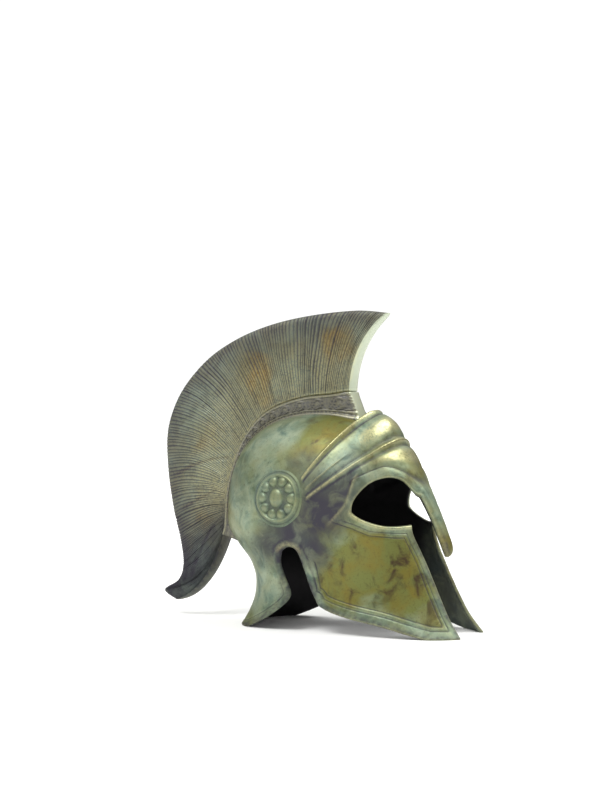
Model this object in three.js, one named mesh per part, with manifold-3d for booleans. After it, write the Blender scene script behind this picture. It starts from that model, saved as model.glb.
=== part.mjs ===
// Corinthian helmet with a horsehair crest, a small cast bronze.
// Millimetres. The helmet faces -Y, +Z is up, X = 0 is its plane of symmetry.
// Shapes are worked out as (forward, side, up), with forward = -Y and side = +X.
import * as THREE from 'three';
import { ParametricGeometry } from 'three/addons/geometries/ParametricGeometry.js';
import { mergeVertices } from 'three/addons/utils/BufferGeometryUtils.js';
import Module from 'manifold-3d';

const wasm = await Module();
wasm.setup();

// Driving sizes
const springHeight = 74;      // height where the dome starts
const domeRise = 56;          // from there to the top of the bowl
const domeFront = 70;         // reach of the dome ahead of its centre
const domeBack = 59;          // reach of the dome behind its centre
const halfWidth = 45;         // half the width at the widest level
const domeCentre = 18;        // forward position of the widest point
const wall = 2.4;             // thickness of the cast wall
const fitGap = 0.3;           // clearance between separate castings
const aroundSteps = 42;       // facets round the shell
const domeSteps = 9;          // facets from the springing to the top
const lowerSteps = 10;        // facets from the ground to the springing

// Plan of the helmet below the dome: how far it reaches back and forward at
// x = 0 were it whole, its half width, where it is widest, and how square it is.
const plan = [
  { up: 0, back: -31.5, front: 122.5, half: 40.2, widest: 23, square: 2.6 },
  { up: 10, back: -25.6, front: 114.2, half: 38.2, widest: 25, square: 2.5 },
  { up: 20, back: -22.7, front: 108.4, half: 37.2, widest: 27, square: 2.4 },
  { up: 30, back: -22.9, front: 103.4, half: 37.4, widest: 28, square: 2.3 },
  { up: 40, back: -26.4, front: 98.3, half: 38.6, widest: 25, square: 2.3 },
  { up: 50, back: -34.4, front: 93.3, half: 41.0, widest: 21, square: 2.3 },
  { up: 60, back: -40.6, front: 89.8, half: 43.8, widest: 18, square: 2.3 },
  { up: 74, back: -41.0, front: 88.0, half: 45.0, widest: 18, square: 2.3 },
];

// Front profile of the raised brow, which stands ahead of the bowl.
const browProfile = [
  { up: 60, front: 90 },
  { up: 80, front: 88.5 },
  { up: 90, front: 85 },
  { up: 100, front: 80 },
  { up: 110, front: 74 },
  { up: 118, front: 69.5 },
  { up: 124, front: 65.5 },
  { up: 128, front: 61 },
  { up: 130, front: 57 },
  { up: 131.5, front: 48 },
];

// The nasal: its front profile, half width and depth.
const nasal = [
  { forward: 76.5, up: 105, half: 11, deep: 4.2 },
  { forward: 80.6, up: 100, half: 10.2, deep: 4.6 },
  { forward: 84.8, up: 93.5, half: 9.2, deep: 5.2 },
  { forward: 87.9, up: 88, half: 7.8, deep: 5.4 },
  { forward: 90.8, up: 82.8, half: 6.7, deep: 5.0 },
  { forward: 97.1, up: 70.5, half: 5.8, deep: 4.8 },
  { forward: 102.3, up: 58.4, half: 5.4, deep: 4.7 },
  { forward: 104.6, up: 52, half: 5.0, deep: 4.5 },
  { forward: 105.0, up: 48.8, half: 4.2, deep: 4.0 },
  { forward: 104.3, up: 46.6, half: 2.6, deep: 2.9 },
];

// The three brow ridges as seen from the side, from the rosette to the front.
const ridges = [
  { from: [26.0, 88.0], to: [57.2, 133.5], wide: [1.8, 3.6], proud: 1.2 },
  { from: [30.0, 84.0], to: [56.0, 109.0], wide: [1.6, 1.2], proud: 0.9 },
  { from: [30.6, 78.8], to: [76.5, 117.5], wide: [1.8, 3.4], proud: 1.2 },
];

// The crest holder and plume as seen from the side, from front to back. Each
// row gives the line where plume meets holder, the tip of the hair, and the
// point that bends the hair between them.
const crest = [
  { root: [39.6, 142.6], bend: [40.8, 171.4], tip: [63.5, 189.2] },
  { root: [26.8, 140.9], bend: [28.8, 167.9], tip: [42.8, 191.1] },
  { root: [10.5, 139.5], bend: [8.7, 164.4], tip: [11.8, 189.1] },
  { root: [-5.0, 135.8], bend: [-11.0, 159.9], tip: [-17.0, 184.1] },
  { root: [-18.5, 130.0], bend: [-28.3, 154.0], tip: [-42.6, 175.5] },
  { root: [-29.0, 120.8], bend: [-43.0, 145.2], tip: [-65.3, 162.3] },
  { root: [-36.8, 109.5], bend: [-54.8, 134.4], tip: [-84.5, 142.2] },
  { root: [-42.0, 97.5], bend: [-63.4, 119.9], tip: [-94.3, 119.2] },
  { root: [-45.6, 86.0], bend: [-68.0, 101.2], tip: [-94.4, 95.0] },
  { root: [-47.2, 75.5], bend: [-69.7, 79.1], tip: [-90.2, 69.0] },
  { root: [-47.8, 67.5], bend: [-67.2, 59.6], tip: [-84.6, 48.0] },
  { root: [-48.2, 61.5], bend: [-64.2, 45.6], tip: [-82.6, 32.5] },
  { root: [-48.6, 58.5], bend: [-62.0, 27.0], tip: [-86.5, 22.5] },
  { root: [-49.2, 56.0], bend: [-63.0, 17.0], tip: [-97.4, 15.4] },
  { root: [-50.0, 53.5], bend: [-64.0, 14.0], tip: [-88.5, 9.6] },
];
const plumeHalf = 5.8;        // half the plume's thickness at its root
const plumeRibs = 36;         // hair locks carved on each side
const ribDepth = 0.45;        // depth of the grooves between them
const holderDepth = 19;       // holder height before the bowl is taken out of it
const holderSteps = 26;
const waveCount = 16;         // running-wave scrolls on each side
const waveHeight = 0.8;       // how far they stand out

const rosetteUp = 79.8;
const rosetteForward = 12.4;
const rosetteRadius = 17;
const petalCount = 10;

const place = (forward, side, up) => new THREE.Vector3(side, -forward, up);

// A smooth table: returns the row's columns at a given height.
function smoothTable(rows, columns) {
  const samples = rows.flatMap((row) => columns.map((name) => row[name]));
  const curve = new THREE.CubicInterpolant(rows.map((row) => row.up), samples, columns.length);
  return (up) => Array.from(curve.evaluate(up));
}

const planAt = smoothTable(plan, ['back', 'front', 'half', 'widest', 'square']);
const browAt = smoothTable(browProfile, ['front']);

// Superellipse round the head at one height; angle 0 is the front.
function planPoint(angle, back, front, half, widest, square) {
  const c = Math.cos(angle);
  const s = Math.sin(angle);
  const reach = c > 0 ? front - widest : widest - back;
  return {
    forward: widest + reach * Math.sign(c) * Math.abs(c) ** (2 / square),
    side: half * Math.sign(s) * Math.abs(s) ** (2 / square),
  };
}

// Plan of the whole head at one height, grown outwards by the given amount.
function headPlan(up, grow) {
  if (up <= springHeight) {
    const [back, front, half, widest, square] = planAt(up);
    return [back - grow, front + grow, half + grow, widest, square];
  }
  const t = Math.min((up - springHeight) / (domeRise + grow), 1);
  const round = Math.sqrt(1 - t * t);
  const full = (1 - t ** 2.4) ** (1 / 2.4);
  const centre = domeCentre + 4 * t * t;
  const back = centre - (domeBack + grow + centre - domeCentre) * full;
  const front = centre + (domeFront + grow - (centre - domeCentre)) * round;
  return [back, front, (halfWidth + grow) * round, centre, 2.3 - 0.3 * t];
}

// Skin stretched over a row of closed rings, with flat ends at x = 0.
function loft(rings) {
  const flat = (ring) => ring.map((p) => new THREE.Vector3(0, p.y, p.z));
  const rows = [flat(rings[0]), ...rings, flat(rings[rings.length - 1])];
  const along = rows.length - 1;
  const around = rows[0].length;
  const pick = (u, v, target) => {
    target.copy(rows[Math.round(v * along)][Math.round(u * around) % around]);
  };
  return new ParametricGeometry(pick, around, along);
}

// Turns a closed geometry into a solid that can be joined and cut.
function solidOf(geometry) {
  const bare = geometry.index ? geometry.toNonIndexed() : geometry.clone();
  bare.deleteAttribute('normal');
  bare.deleteAttribute('uv');
  const merged = mergeVertices(bare, 1e-4);
  const position = merged.getAttribute('position');
  const corners = Array.from(merged.index.array);
  const kept = [];
  let volume = 0;
  const a = new THREE.Vector3();
  const b = new THREE.Vector3();
  const c = new THREE.Vector3();
  for (let i = 0; i < corners.length; i += 3) {
    const [p, q, r] = corners.slice(i, i + 3);
    if (p === q || q === r || r === p) continue;
    kept.push(p, q, r);
    a.fromBufferAttribute(position, p);
    b.fromBufferAttribute(position, q);
    c.fromBufferAttribute(position, r);
    volume += a.dot(b.cross(c));
  }
  if (volume < 0) kept.reverse();
  return new wasm.Manifold(new wasm.Mesh({
    numProp: 3,
    vertProperties: new Float32Array(position.array),
    triVerts: new Uint32Array(kept),
  }));
}

// Turns a solid back into a geometry of points and triangles.
function geometryOf(solid) {
  const mesh = solid.getMesh();
  const geometry = new THREE.BufferGeometry();
  geometry.setAttribute('position', new THREE.BufferAttribute(mesh.vertProperties, 3));
  geometry.setIndex(new THREE.BufferAttribute(mesh.triVerts, 1));
  return geometry;
}

// Prism through the helmet from side to side, of an outline in (forward, up).
function sidePrism(shape, reach = 60) {
  const options = { depth: 2 * reach, bevelEnabled: false, curveSegments: 4 };
  const geometry = new THREE.ExtrudeGeometry(shape, options);
  const turn = new THREE.Matrix4().makeBasis(
    new THREE.Vector3(0, -1, 0), new THREE.Vector3(0, 0, 1), new THREE.Vector3(-1, 0, 0));
  geometry.applyMatrix4(turn);
  geometry.translate(reach, 0, 0);
  return solidOf(geometry);
}

// Prism running forwards, of an outline in (side, up).
function frontPrism(shape, start, depth) {
  const geometry = new THREE.ExtrudeGeometry(shape, { depth, bevelEnabled: false, curveSegments: 4 });
  const turn = new THREE.Matrix4().makeBasis(
    new THREE.Vector3(1, 0, 0), new THREE.Vector3(0, 0, 1), new THREE.Vector3(0, -1, 0));
  geometry.applyMatrix4(turn);
  geometry.translate(0, -start, 0);
  return solidOf(geometry);
}

const points = (list) => list.map(([x, y]) => new THREE.Vector2(x, y));

// The head as one closed body, from below the ground to the top of the dome.
function headSolid(grow, bottom = 0, around = aroundSteps) {
  const heights = [bottom];
  for (let i = 1; i <= lowerSteps; i += 1) heights.push(springHeight * i / lowerSteps);
  for (let i = 1; i < domeSteps; i += 1) {
    heights.push(springHeight + (domeRise + grow) * Math.sin(Math.PI / 2 * i / domeSteps));
  }
  heights.push(springHeight + (domeRise + grow) * 0.9998);
  const rings = heights.map((up) => ringAt(up, headPlan(Math.max(up, 0), grow), around));
  return solidOf(loft(rings));
}

function ringAt(up, row, around = aroundSteps) {
  const ring = [];
  for (let i = 0; i < around; i += 1) {
    const p = planPoint(2 * Math.PI * i / around, ...row);
    ring.push(place(p.forward, p.side, up));
  }
  return ring;
}

// The brow as a body of its own, standing ahead of the bowl.
function browSolid(grow, around = aroundSteps) {
  const heights = [60, 77, 90, 101, 110, 117, 123, 127, 129.6, 131.4];
  const rings = heights.map((up) => {
    const [, , , widest] = headPlan(Math.min(up, 128), 0);
    const t = Math.max(up - springHeight, 0) / 58.5;
    const half = 45.9 * Math.sqrt(1 - t * t) + grow;
    const row = [-20, browAt(up)[0] + grow, half, widest, 2.3 - 0.3 * t];
    return ringAt(up + grow * Math.min(t, 1), row, around);
  });
  return solidOf(loft(rings));
}

// One brow ridge: a strip of the grown brow surface, tapering to the back.
function ridgeSolid({ from, to, wide, proud }) {
  const start = new THREE.Vector2(...from);
  const end = new THREE.Vector2(...to);
  const across = end.clone().sub(start).normalize().rotateAround(new THREE.Vector2(), Math.PI / 2);
  const corner = (base, size) => base.clone().addScaledVector(across, size);
  const strip = new THREE.Shape([
    corner(start, wide[0] / 2),
    corner(start, -wide[0] / 2),
    corner(end, -wide[1] / 2),
    corner(end, wide[1] / 2),
  ]);
  return browSolid(proud).intersect(sidePrism(strip)).subtract(sidePrism(rosetteOutline()));
}

// Room left for a rosette, as seen from the side.
function rosetteOutline() {
  const radius = rosetteRadius + 1;
  return new THREE.Shape(new THREE.EllipseCurve(rosetteForward, rosetteUp, radius, radius).getPoints(32));
}

// Side outline of the brow, forward of the upper ridge and above the eye. The
// inset keeps a wall's thickness between it and the same outline without one.
function browRegion(inset = 0) {
  const ahead = 0.84 * inset;
  const down = 0.54 * inset;
  return sidePrism(new THREE.Shape(points([
    [26 + ahead, 86 - down], [56.5 + ahead, 134 - down], [100, 134 - down], [100, 70],
    [80, 74], [62 + 0.3 * inset, 92 + 0.9 * inset], [30 + 0.3 * inset, 78.5 + 0.9 * inset],
  ]))).subtract(sidePrism(rosetteOutline()));
}

// Ring of the nasal: a shallow ridge in front, flat at the sides and back.
function nasalRing(index) {
  const here = nasal[index];
  const before = nasal[Math.max(index - 1, 0)];
  const after = nasal[Math.min(index + 1, nasal.length - 1)];
  const run = new THREE.Vector2(after.forward - before.forward, after.up - before.up).normalize();
  const inward = new THREE.Vector2(run.y, -run.x);
  const spot = (side, depth) => place(here.forward + inward.x * depth, side, here.up + inward.y * depth);
  const { half, deep } = here;
  return [
    spot(-half, deep), spot(-half, 1.6), spot(-half * 0.6, 0.4), spot(0, 0),
    spot(half * 0.6, 0.4), spot(half, 1.6), spot(half, deep), spot(0, deep),
  ];
}

function nasalSolid() {
  return solidOf(loft(nasal.map((_, index) => nasalRing(index))));
}

// Eye openings, cut from side to side.
function eyeCut() {
  const shape = new THREE.Shape();
  shape.moveTo(58.7, 72.6);
  shape.splineThru(points([
    [59.6, 78.6], [63.8, 85.6], [69.4, 90.6], [75.4, 92.6], [80.2, 91.4], [83.6, 87.8], [86.8, 82.6],
  ]));
  shape.lineTo(96, 72);
  shape.lineTo(96, 64.6);
  shape.lineTo(86.2, 64.8);
  shape.splineThru(points([[80, 64.3], [73.5, 65], [66, 67.6], [61, 70.4], [58.7, 72.6]]));
  return sidePrism(shape);
}

// Gap between the cheek guards, cut from the front.
function faceCut() {
  const shape = new THREE.Shape();
  shape.moveTo(-17, -3);
  shape.splineThru(points([[-14, 11], [-12.5, 30], [-12.4, 48], [-15, 66], [-8, 80], [0, 85]]));
  shape.splineThru(points([[8, 80], [15, 66], [12.4, 48], [12.5, 30], [14, 11], [17, -3]]));
  return frontPrism(shape, 62, 70);
}

// Everything below the lower edge: ear notch, foot of the neck and of the cheek.
function lowerCut() {
  const shape = new THREE.Shape();
  shape.moveTo(-20, -5);
  shape.lineTo(-20, 0);
  shape.splineThru(points([
    [-2.9, 6.9], [9.6, 14.4], [15.6, 20], [16.2, 24.5], [11.9, 33.6], [10.2, 41], [12.6, 48],
  ]));
  shape.splineThru(points([[18, 50.6], [23, 48], [26.6, 37.5], [30.5, 25.8], [36, 16.4]]));
  shape.splineThru(points([[44, 13.2], [57, 10], [75.6, 6.8], [92, 2.8], [104, 0]]));
  shape.lineTo(104, -5);
  return sidePrism(shape);
}

function shellSolid() {
  let body = headSolid(0).add(browSolid(0).intersect(browRegion()));
  for (const ridge of ridges) body = body.add(ridgeSolid(ridge));
  body = body.subtract(headSolid(-wall, -5, 28));
  body = body.subtract(browSolid(-wall, 28).intersect(browRegion(wall)));
  body = body.subtract(eyeCut()).subtract(faceCut()).subtract(lowerCut());
  return body.add(nasalSolid().subtract(headSolid(-wall - 2)));
}

// Smooth curve through one column of the crest table.
function crestCurve(column) {
  return new THREE.SplineCurve(points(crest.map((row) => row[column])));
}

// Point on the crest in (forward, up): u runs front to back, v root to tip.
const rootCurve = crestCurve('root');
const bendCurve = crestCurve('bend');
const tipCurve = crestCurve('tip');
function crestPoint(u, v) {
  const ends = [rootCurve.getPoint(u), bendCurve.getPoint(u), tipCurve.getPoint(u)];
  const hair = new THREE.QuadraticBezierCurve(...ends);
  return hair.getPoint(v);
}

// The plume, ribbed from root to tip.
function plumeSolid() {
  const levels = [
    { v: 0, half: 1 }, { v: 0.3, half: 1 }, { v: 0.62, half: 0.97 },
    { v: 0.88, half: 0.9 }, { v: 0.975, half: 0.7 }, { v: 1, half: 0.35 },
  ];
  const steps = 2 * plumeRibs;
  const rings = [];
  for (let i = 0; i <= steps; i += 1) {
    const groove = i % 2 ? ribDepth : 0;
    const side = levels.map(({ v, half }) => {
      const p = crestPoint(i / steps, v);
      return { p, half: plumeHalf * half - groove * Math.min(1, v * 8) * half };
    });
    const near = side.map(({ p, half }) => place(p.x, -half, p.y));
    const far = side.map(({ p, half }) => place(p.x, half, p.y)).reverse();
    rings.push([...near, ...far]);
  }
  return solidOf(loft(rings));
}

// Frame on the holder's upper edge: a point, the way along and the way out.
function holderFrame(u) {
  const root = rootCurve.getPoint(u);
  const along = rootCurve.getTangent(u);
  const out = new THREE.Vector2(along.y, -along.x).normalize().negate();
  if (out.dot(new THREE.Vector2(root.x - 12, root.y - 70)) < 0) out.negate();
  return { root, out };
}

// Holder body: a band with a plain upper border and a wider foot on the bowl.
function holderBody() {
  const section = [
    [7.8, -0.3], [7.8, -1.7], [7.2, -2.1], [7.2, -holderDepth],
  ];
  const rings = [];
  for (let i = 0; i <= holderSteps; i += 1) {
    const { root, out } = holderFrame(i / holderSteps);
    const near = section.map(([half, depth]) => {
      return place(root.x + out.x * depth, -half, root.y + out.y * depth);
    });
    const far = near.map((p) => new THREE.Vector3(-p.x, p.y, p.z)).reverse();
    rings.push([...near, ...far]);
  }
  return solidOf(loft(rings));
}

// Lower border of the holder: a bead that follows the bowl.
function holderBorder(body) {
  const wide = body.scale([9.0 / 7.2, 1, 1]);
  return wide.intersect(headSolid(2.4)).intersect(sidePrism(holderRegion()));
}

// Side outline of the holder, used to trim the border.
function holderRegion() {
  const upper = [];
  const lower = [];
  for (let i = 0; i <= holderSteps; i += 1) {
    const { root, out } = holderFrame(i / holderSteps);
    upper.push(root.clone().addScaledVector(out, -2.5));
    lower.push(root.clone().addScaledVector(out, -holderDepth));
  }
  return new THREE.Shape([...upper, ...lower.reverse()]);
}

// One running-wave scroll in its own plane, about 8 mm long.
function waveShape(size) {
  const shape = new THREE.Shape();
  shape.absarc(0, 0, size, -0.4, Math.PI * 1.1, false);
  shape.quadraticCurveTo(-size * 1.3, -size * 1.1, -size * 2.3, -size * 1.2);
  shape.quadraticCurveTo(-size * 1.0, -size * 1.7, size * 0.9, -size * 0.4);
  return shape;
}

function waveSolid(index) {
  const u = 0.035 + 0.93 * index / (waveCount - 1);
  const { root, out } = holderFrame(u);
  const size = 2.2 - 0.9 * u;
  const centre = root.clone().addScaledVector(out, -(2.2 + size * 1.15));
  const depth = 14.4 + 2 * waveHeight;
  const options = { depth, bevelEnabled: false, curveSegments: 2 };
  const geometry = new THREE.ExtrudeGeometry(waveShape(size), options);
  geometry.translate(0, 0, -depth / 2);
  const up = new THREE.Vector3(0, -out.x, out.y);
  const ahead = new THREE.Vector3(0, -out.y, -out.x);
  geometry.applyMatrix4(new THREE.Matrix4().makeBasis(ahead, up, new THREE.Vector3(-1, 0, 0)));
  geometry.translate(0, -centre.x, centre.y);
  return solidOf(geometry);
}

function holderSolid() {
  const body = holderBody();
  let solid = body.add(holderBorder(body));
  for (let i = 0; i < waveCount; i += 1) solid = solid.add(waveSolid(i));
  return solid.subtract(headSolid(fitGap, -5)).subtract(browSolid(fitGap + 1.2).intersect(browRegion()));
}

// A rosette: rim, domed boss and petals, its back fitted to the bowl.
function rosetteSolid(mirror) {
  const profile = new THREE.Path();
  profile.moveTo(0, -8);
  profile.lineTo(rosetteRadius, -8);
  profile.lineTo(rosetteRadius, 0.2);
  profile.lineTo(15, 0.8);
  profile.lineTo(13.9, 2.2);
  profile.lineTo(12.6, 1.9);
  profile.lineTo(12.2, 1);
  profile.lineTo(7.4, 1);
  profile.absarc(0, -4.2, 9.2, 0.65, Math.PI / 2, false);
  const outline = profile.getPoints(2).map((p) => new THREE.Vector2(Math.max(p.x, 0), p.y));
  const disc = new THREE.LatheGeometry(outline, 20);
  let solid = solidOf(disc);
  for (let i = 0; i < petalCount; i += 1) {
    const petal = new THREE.SphereGeometry(2, 6, 4);
    petal.scale(1, 0.75, 0.85);
    petal.translate(9.7, 1.0, 0);
    petal.rotateY(2 * Math.PI * (i + 0.5) / petalCount);
    solid = solid.add(solidOf(petal));
  }
  const [back, front, half, widest, square] = headPlan(rosetteUp, 0);
  const reach = (widest - rosetteForward) / (widest - back);
  const side = half * (1 - reach ** square) ** (1 / square);
  const tilt = Math.atan(half / (widest - back) * 0.12);
  solid = solid.rotate([0, 0, -90]).rotate([0, -5.5, 0]).rotate([0, 0, THREE.MathUtils.radToDeg(tilt)]);
  solid = solid.translate([side, -rosetteForward, rosetteUp]);
  solid = solid.subtract(headSolid(fitGap, -5));
  return mirror ? solid.mirror([1, 0, 0]) : solid;
}

const bronze = (color, roughness) => {
  return new THREE.MeshStandardMaterial({ color, roughness, metalness: 0.8 });
};

const group = new THREE.Group();
group.name = 'corinthian_helmet';

function addPart(name, solid, material) {
  const mesh = new THREE.Mesh(geometryOf(solid), material);
  mesh.name = name;
  group.add(mesh);
}

addPart('helmet_shell', shellSolid(), bronze(0x6f8a6c, 0.45));
addPart('crest_holder', holderSolid(), bronze(0x4f5457, 0.55));
addPart('crest_plume', plumeSolid(), bronze(0x5f6a5a, 0.6));
addPart('rosette_left', rosetteSolid(false), bronze(0x7c8a5e, 0.45));
addPart('rosette_right', rosetteSolid(true), bronze(0x7c8a5e, 0.45));

// The origin is the middle of the footprint, on the ground.
const box = new THREE.Box3().setFromObject(group);
const middle = box.getCenter(new THREE.Vector3());
for (const mesh of group.children) mesh.geometry.translate(-middle.x, -middle.y, -box.min.z);

export default group;
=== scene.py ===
# Corinthian helmet with a horsehair crest, a small cast bronze with a green patina.
import math

import bmesh
import bpy
import numpy as np
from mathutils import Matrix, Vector


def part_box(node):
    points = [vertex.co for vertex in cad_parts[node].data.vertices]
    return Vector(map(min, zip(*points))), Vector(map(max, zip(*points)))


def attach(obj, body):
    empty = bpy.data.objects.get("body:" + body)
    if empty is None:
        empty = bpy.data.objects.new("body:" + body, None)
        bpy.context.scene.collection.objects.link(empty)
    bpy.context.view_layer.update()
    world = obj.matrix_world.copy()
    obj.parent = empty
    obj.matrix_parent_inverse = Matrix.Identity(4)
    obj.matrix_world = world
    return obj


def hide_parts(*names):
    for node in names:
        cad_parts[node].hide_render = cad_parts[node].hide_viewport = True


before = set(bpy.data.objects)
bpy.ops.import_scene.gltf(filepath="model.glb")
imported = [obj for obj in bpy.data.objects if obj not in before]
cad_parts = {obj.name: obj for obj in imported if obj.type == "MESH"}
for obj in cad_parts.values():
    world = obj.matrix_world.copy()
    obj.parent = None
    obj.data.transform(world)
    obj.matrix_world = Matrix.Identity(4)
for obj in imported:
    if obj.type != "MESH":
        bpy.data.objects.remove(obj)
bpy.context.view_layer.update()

mm = 0.001
tailReach = 97.41                       # reach of the plume's tail behind the zero of "forward", mm
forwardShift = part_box("crest_plume")[1].y / mm - tailReach
random = np.random.default_rng(7)
print("frame loaded, forward shift", round(forwardShift, 2), "mm")


# (forward, side, up) in mm to a place in the frame in metres: x = side, y = shift - forward, z = up.
def toFrame(places):
    return np.stack([places[..., 1], forwardShift - places[..., 0], places[..., 2]], axis=-1) * mm


# Running total of the steps, starting at 0.
def runningSum(steps):
    return np.concatenate([[0], np.cumsum(steps)])


# Mean over the reach on either side, with the ends held.
def smoothed(values, reach):
    wide = 2 * reach + 1
    return np.convolve(np.pad(values, reach, mode="edge"), np.ones(wide) / wide, mode="valid")


# Smooth ramp 3t^2 - 2t^3 from 0 at low to 1 at high.
def ramp(low, high, value):
    t = np.clip((value - low) / (high - low), 0, 1)
    return t * t * (3 - 2 * t)


# Raised cosine bump: 1 at 0, falling to 0 at distance 1 on either side.
def bump(value):
    return np.cos(np.clip(value, -1, 1) * np.pi / 2) ** 2


# Natural-ended cubic through the rows (first column is the key), Hermite form with central slopes.
def smoothTable(rows, key):
    rows = np.asarray(rows, float)
    key = np.asarray(key, float)
    last = len(rows) - 1
    after = np.clip(np.searchsorted(rows[:, 0], key, side="right"), 1, last)
    before = after - 1
    start, end = rows[before, 0], rows[after, 0]
    previous = np.where(before > 0, before - 1, after)
    following = np.where(after < last, after + 1, before)
    half = (end - start) / 2
    weightPrevious = half / (start - rows[previous, 0])
    weightNext = half / (rows[following, 0] - end)
    p = np.clip((key - start) / (end - start), 0, 1)
    p2, p3 = p * p, p * p * p
    parts = [
        (previous, -weightPrevious * p3 + 2 * weightPrevious * p2 - weightPrevious * p),
        (before, (1 + weightPrevious) * p3 + (-1.5 - 2 * weightPrevious) * p2
         + (-0.5 + weightPrevious) * p + 1),
        (after, (-1 - weightNext) * p3 + (1.5 + weightNext) * p2 + 0.5 * p),
        (following, weightNext * p3 - weightNext * p2),
    ]
    return sum(rows[index, 1:] * weight[..., None] for index, weight in parts)


# Uniform Catmull-Rom curve through the rows, t from 0 to 1, end rows doubled.
def curveThrough(rows, t):
    rows = np.asarray(rows, float)
    t = np.asarray(t, float)
    last = len(rows) - 1
    place = np.clip(t, 0, 1) * last
    index = np.minimum(place.astype(int), last - 1)
    w = (place - index)[..., None]
    p0, p1 = rows[np.maximum(index - 1, 0)], rows[index]
    p2, p3 = rows[index + 1], rows[np.minimum(index + 2, last)]
    slope1, slope2 = (p2 - p0) / 2, (p3 - p1) / 2
    return (2 * p1 - 2 * p2 + slope1 + slope2) * w ** 3 + (-3 * p1 + 3 * p2 - 2 * slope1
        - slope2) * w ** 2 + slope1 * w + p1


# Signed distance from (x, y) to an open line of points, positive to its left, with the fraction
# of its length reached.
def lineDistance(x, y, line):
    line = np.asarray(line, float)
    lengths = np.hypot(*np.diff(line, axis=0).T)
    travelled = runningSum(lengths)
    best = np.full(x.shape, 1e9)
    signed = np.zeros(x.shape)
    fraction = np.zeros(x.shape)
    for index, length in enumerate(lengths):
        (ax, ay), (bx, by) = line[index], line[index + 1]
        ux, uy = (bx - ax) / length, (by - ay) / length
        low = -1e9 if index == 0 else 0
        high = 1e9 if index == len(lengths) - 1 else length
        along = np.clip((x - ax) * ux + (y - ay) * uy, low, high)
        apart = np.hypot(x - ax - ux * along, y - ay - uy * along)
        side = (y - ay) * ux - (x - ax) * uy
        closer = apart < best
        best = np.where(closer, apart, best)
        signed = np.where(closer, np.sign(side) * apart, signed)
        fraction = np.where(closer, (travelled[index] + along) / travelled[-1], fraction)
    return signed, fraction


# Signed distance to a closed outline, positive outside it.
def outlineDistance(x, y, outline):
    outline = np.asarray(outline, float)
    best = np.full(x.shape, 1e9)
    inside = np.zeros(x.shape, bool)
    for (ax, ay), (bx, by) in zip(outline, np.roll(outline, -1, axis=0)):
        squared = max((bx - ax) ** 2 + (by - ay) ** 2, 1e-12)
        along = np.clip(((x - ax) * (bx - ax) + (y - ay) * (by - ay)) / squared, 0, 1)
        best = np.minimum(best, np.hypot(x - ax - along * (bx - ax), y - ay - along * (by - ay)))
        if ay != by:
            crosses = ((ay > y) != (by > y)) & (x < (bx - ax) * (y - ay) / (by - ay) + ax)
            inside ^= crosses
    return np.where(inside, -best, best)


# Distance from each place to the nearest of the targets, in blocks of places.
def nearest(places, targets):
    found = np.empty(len(places))
    squares = (targets ** 2).sum(1)
    for start in range(0, len(places), 4096):
        block = places[start:start + 4096]
        apart = (block ** 2).sum(1)[:, None] - 2 * block @ targets.T + squares
        found[start:start + 4096] = np.sqrt(np.maximum(apart.min(1), 0))
    return found


# Soft pseudo-noise from three tilted sine products, about -1 to 1, with waves of the given length in mm.
def softNoise(places, length, seed=0):
    turn = np.array([[0.36, 0.48, -0.8], [-0.8, 0.6, 0.0], [0.48, 0.64, 0.6]])
    total = np.zeros(places.shape[:-1])
    spot = places / length * 2 * np.pi + seed * 1.7
    for step in range(3):
        spot = spot @ turn * 1.31 + 1.3 + seed
        total += np.sin(spot[..., 0]) * np.cos(spot[..., 1] * 0.9 + 0.7) + np.sin(spot[..., 2] * 1.1)
    return total / 4


# Sum of soft round clouds, each (forward, up, radius, amount) with a full core inside its radius.
def cloudSum(clouds, forward, up, core=0.25):
    return sum(amount * ramp(radius, radius * core, np.hypot(forward - spotForward, up - spotUp))
               for spotForward, spotUp, radius, amount in clouds)


# Builds a mesh object from places in the frame, faces and per-point masks.
def makePiece(name, places, faces, masks, merge=0.0):
    mesh = bpy.data.meshes.new(name)
    mesh.from_pydata(places.tolist(), [], [list(face) for group in faces for face in group.tolist()])
    for maskName, values in masks.items():
        mesh.attributes.new(maskName, "FLOAT", "POINT").data.foreach_set("value",
            np.asarray(values, np.float32))
    if merge:
        work = bmesh.new()
        work.from_mesh(mesh)
        bmesh.ops.remove_doubles(work, verts=work.verts, dist=merge)
        bmesh.ops.dissolve_degenerate(work, edges=work.edges, dist=merge / 2)
        bmesh.ops.recalc_face_normals(work, faces=work.faces)
        work.to_mesh(mesh)
        work.free()
    mesh.polygons.foreach_set("use_smooth", [True] * len(mesh.polygons))
    mesh.update()
    piece = bpy.data.objects.new(name, mesh)
    bpy.context.scene.collection.objects.link(piece)
    edges = np.zeros(len(mesh.loops), np.int64)
    mesh.loops.foreach_get("edge_index", edges)
    openEdges = int((np.bincount(edges, minlength=len(mesh.edges)) != 2).sum())
    print(name, len(mesh.vertices), "points,", len(mesh.polygons), "faces,", openEdges, "open edges")
    return piece


# Quads of a grid of rows by columns whose first point has the given index.
def gridQuads(rows, columns, first=0, closed=False):
    wide = columns if closed else columns - 1
    i, j = np.meshgrid(np.arange(rows - 1), np.arange(wide), indexing="ij")
    a = i * columns + j
    b = i * columns + (j + 1) % columns
    return (np.stack([a, b, b + columns, a + columns], axis=-1).reshape(-1, 4) + first)


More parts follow.
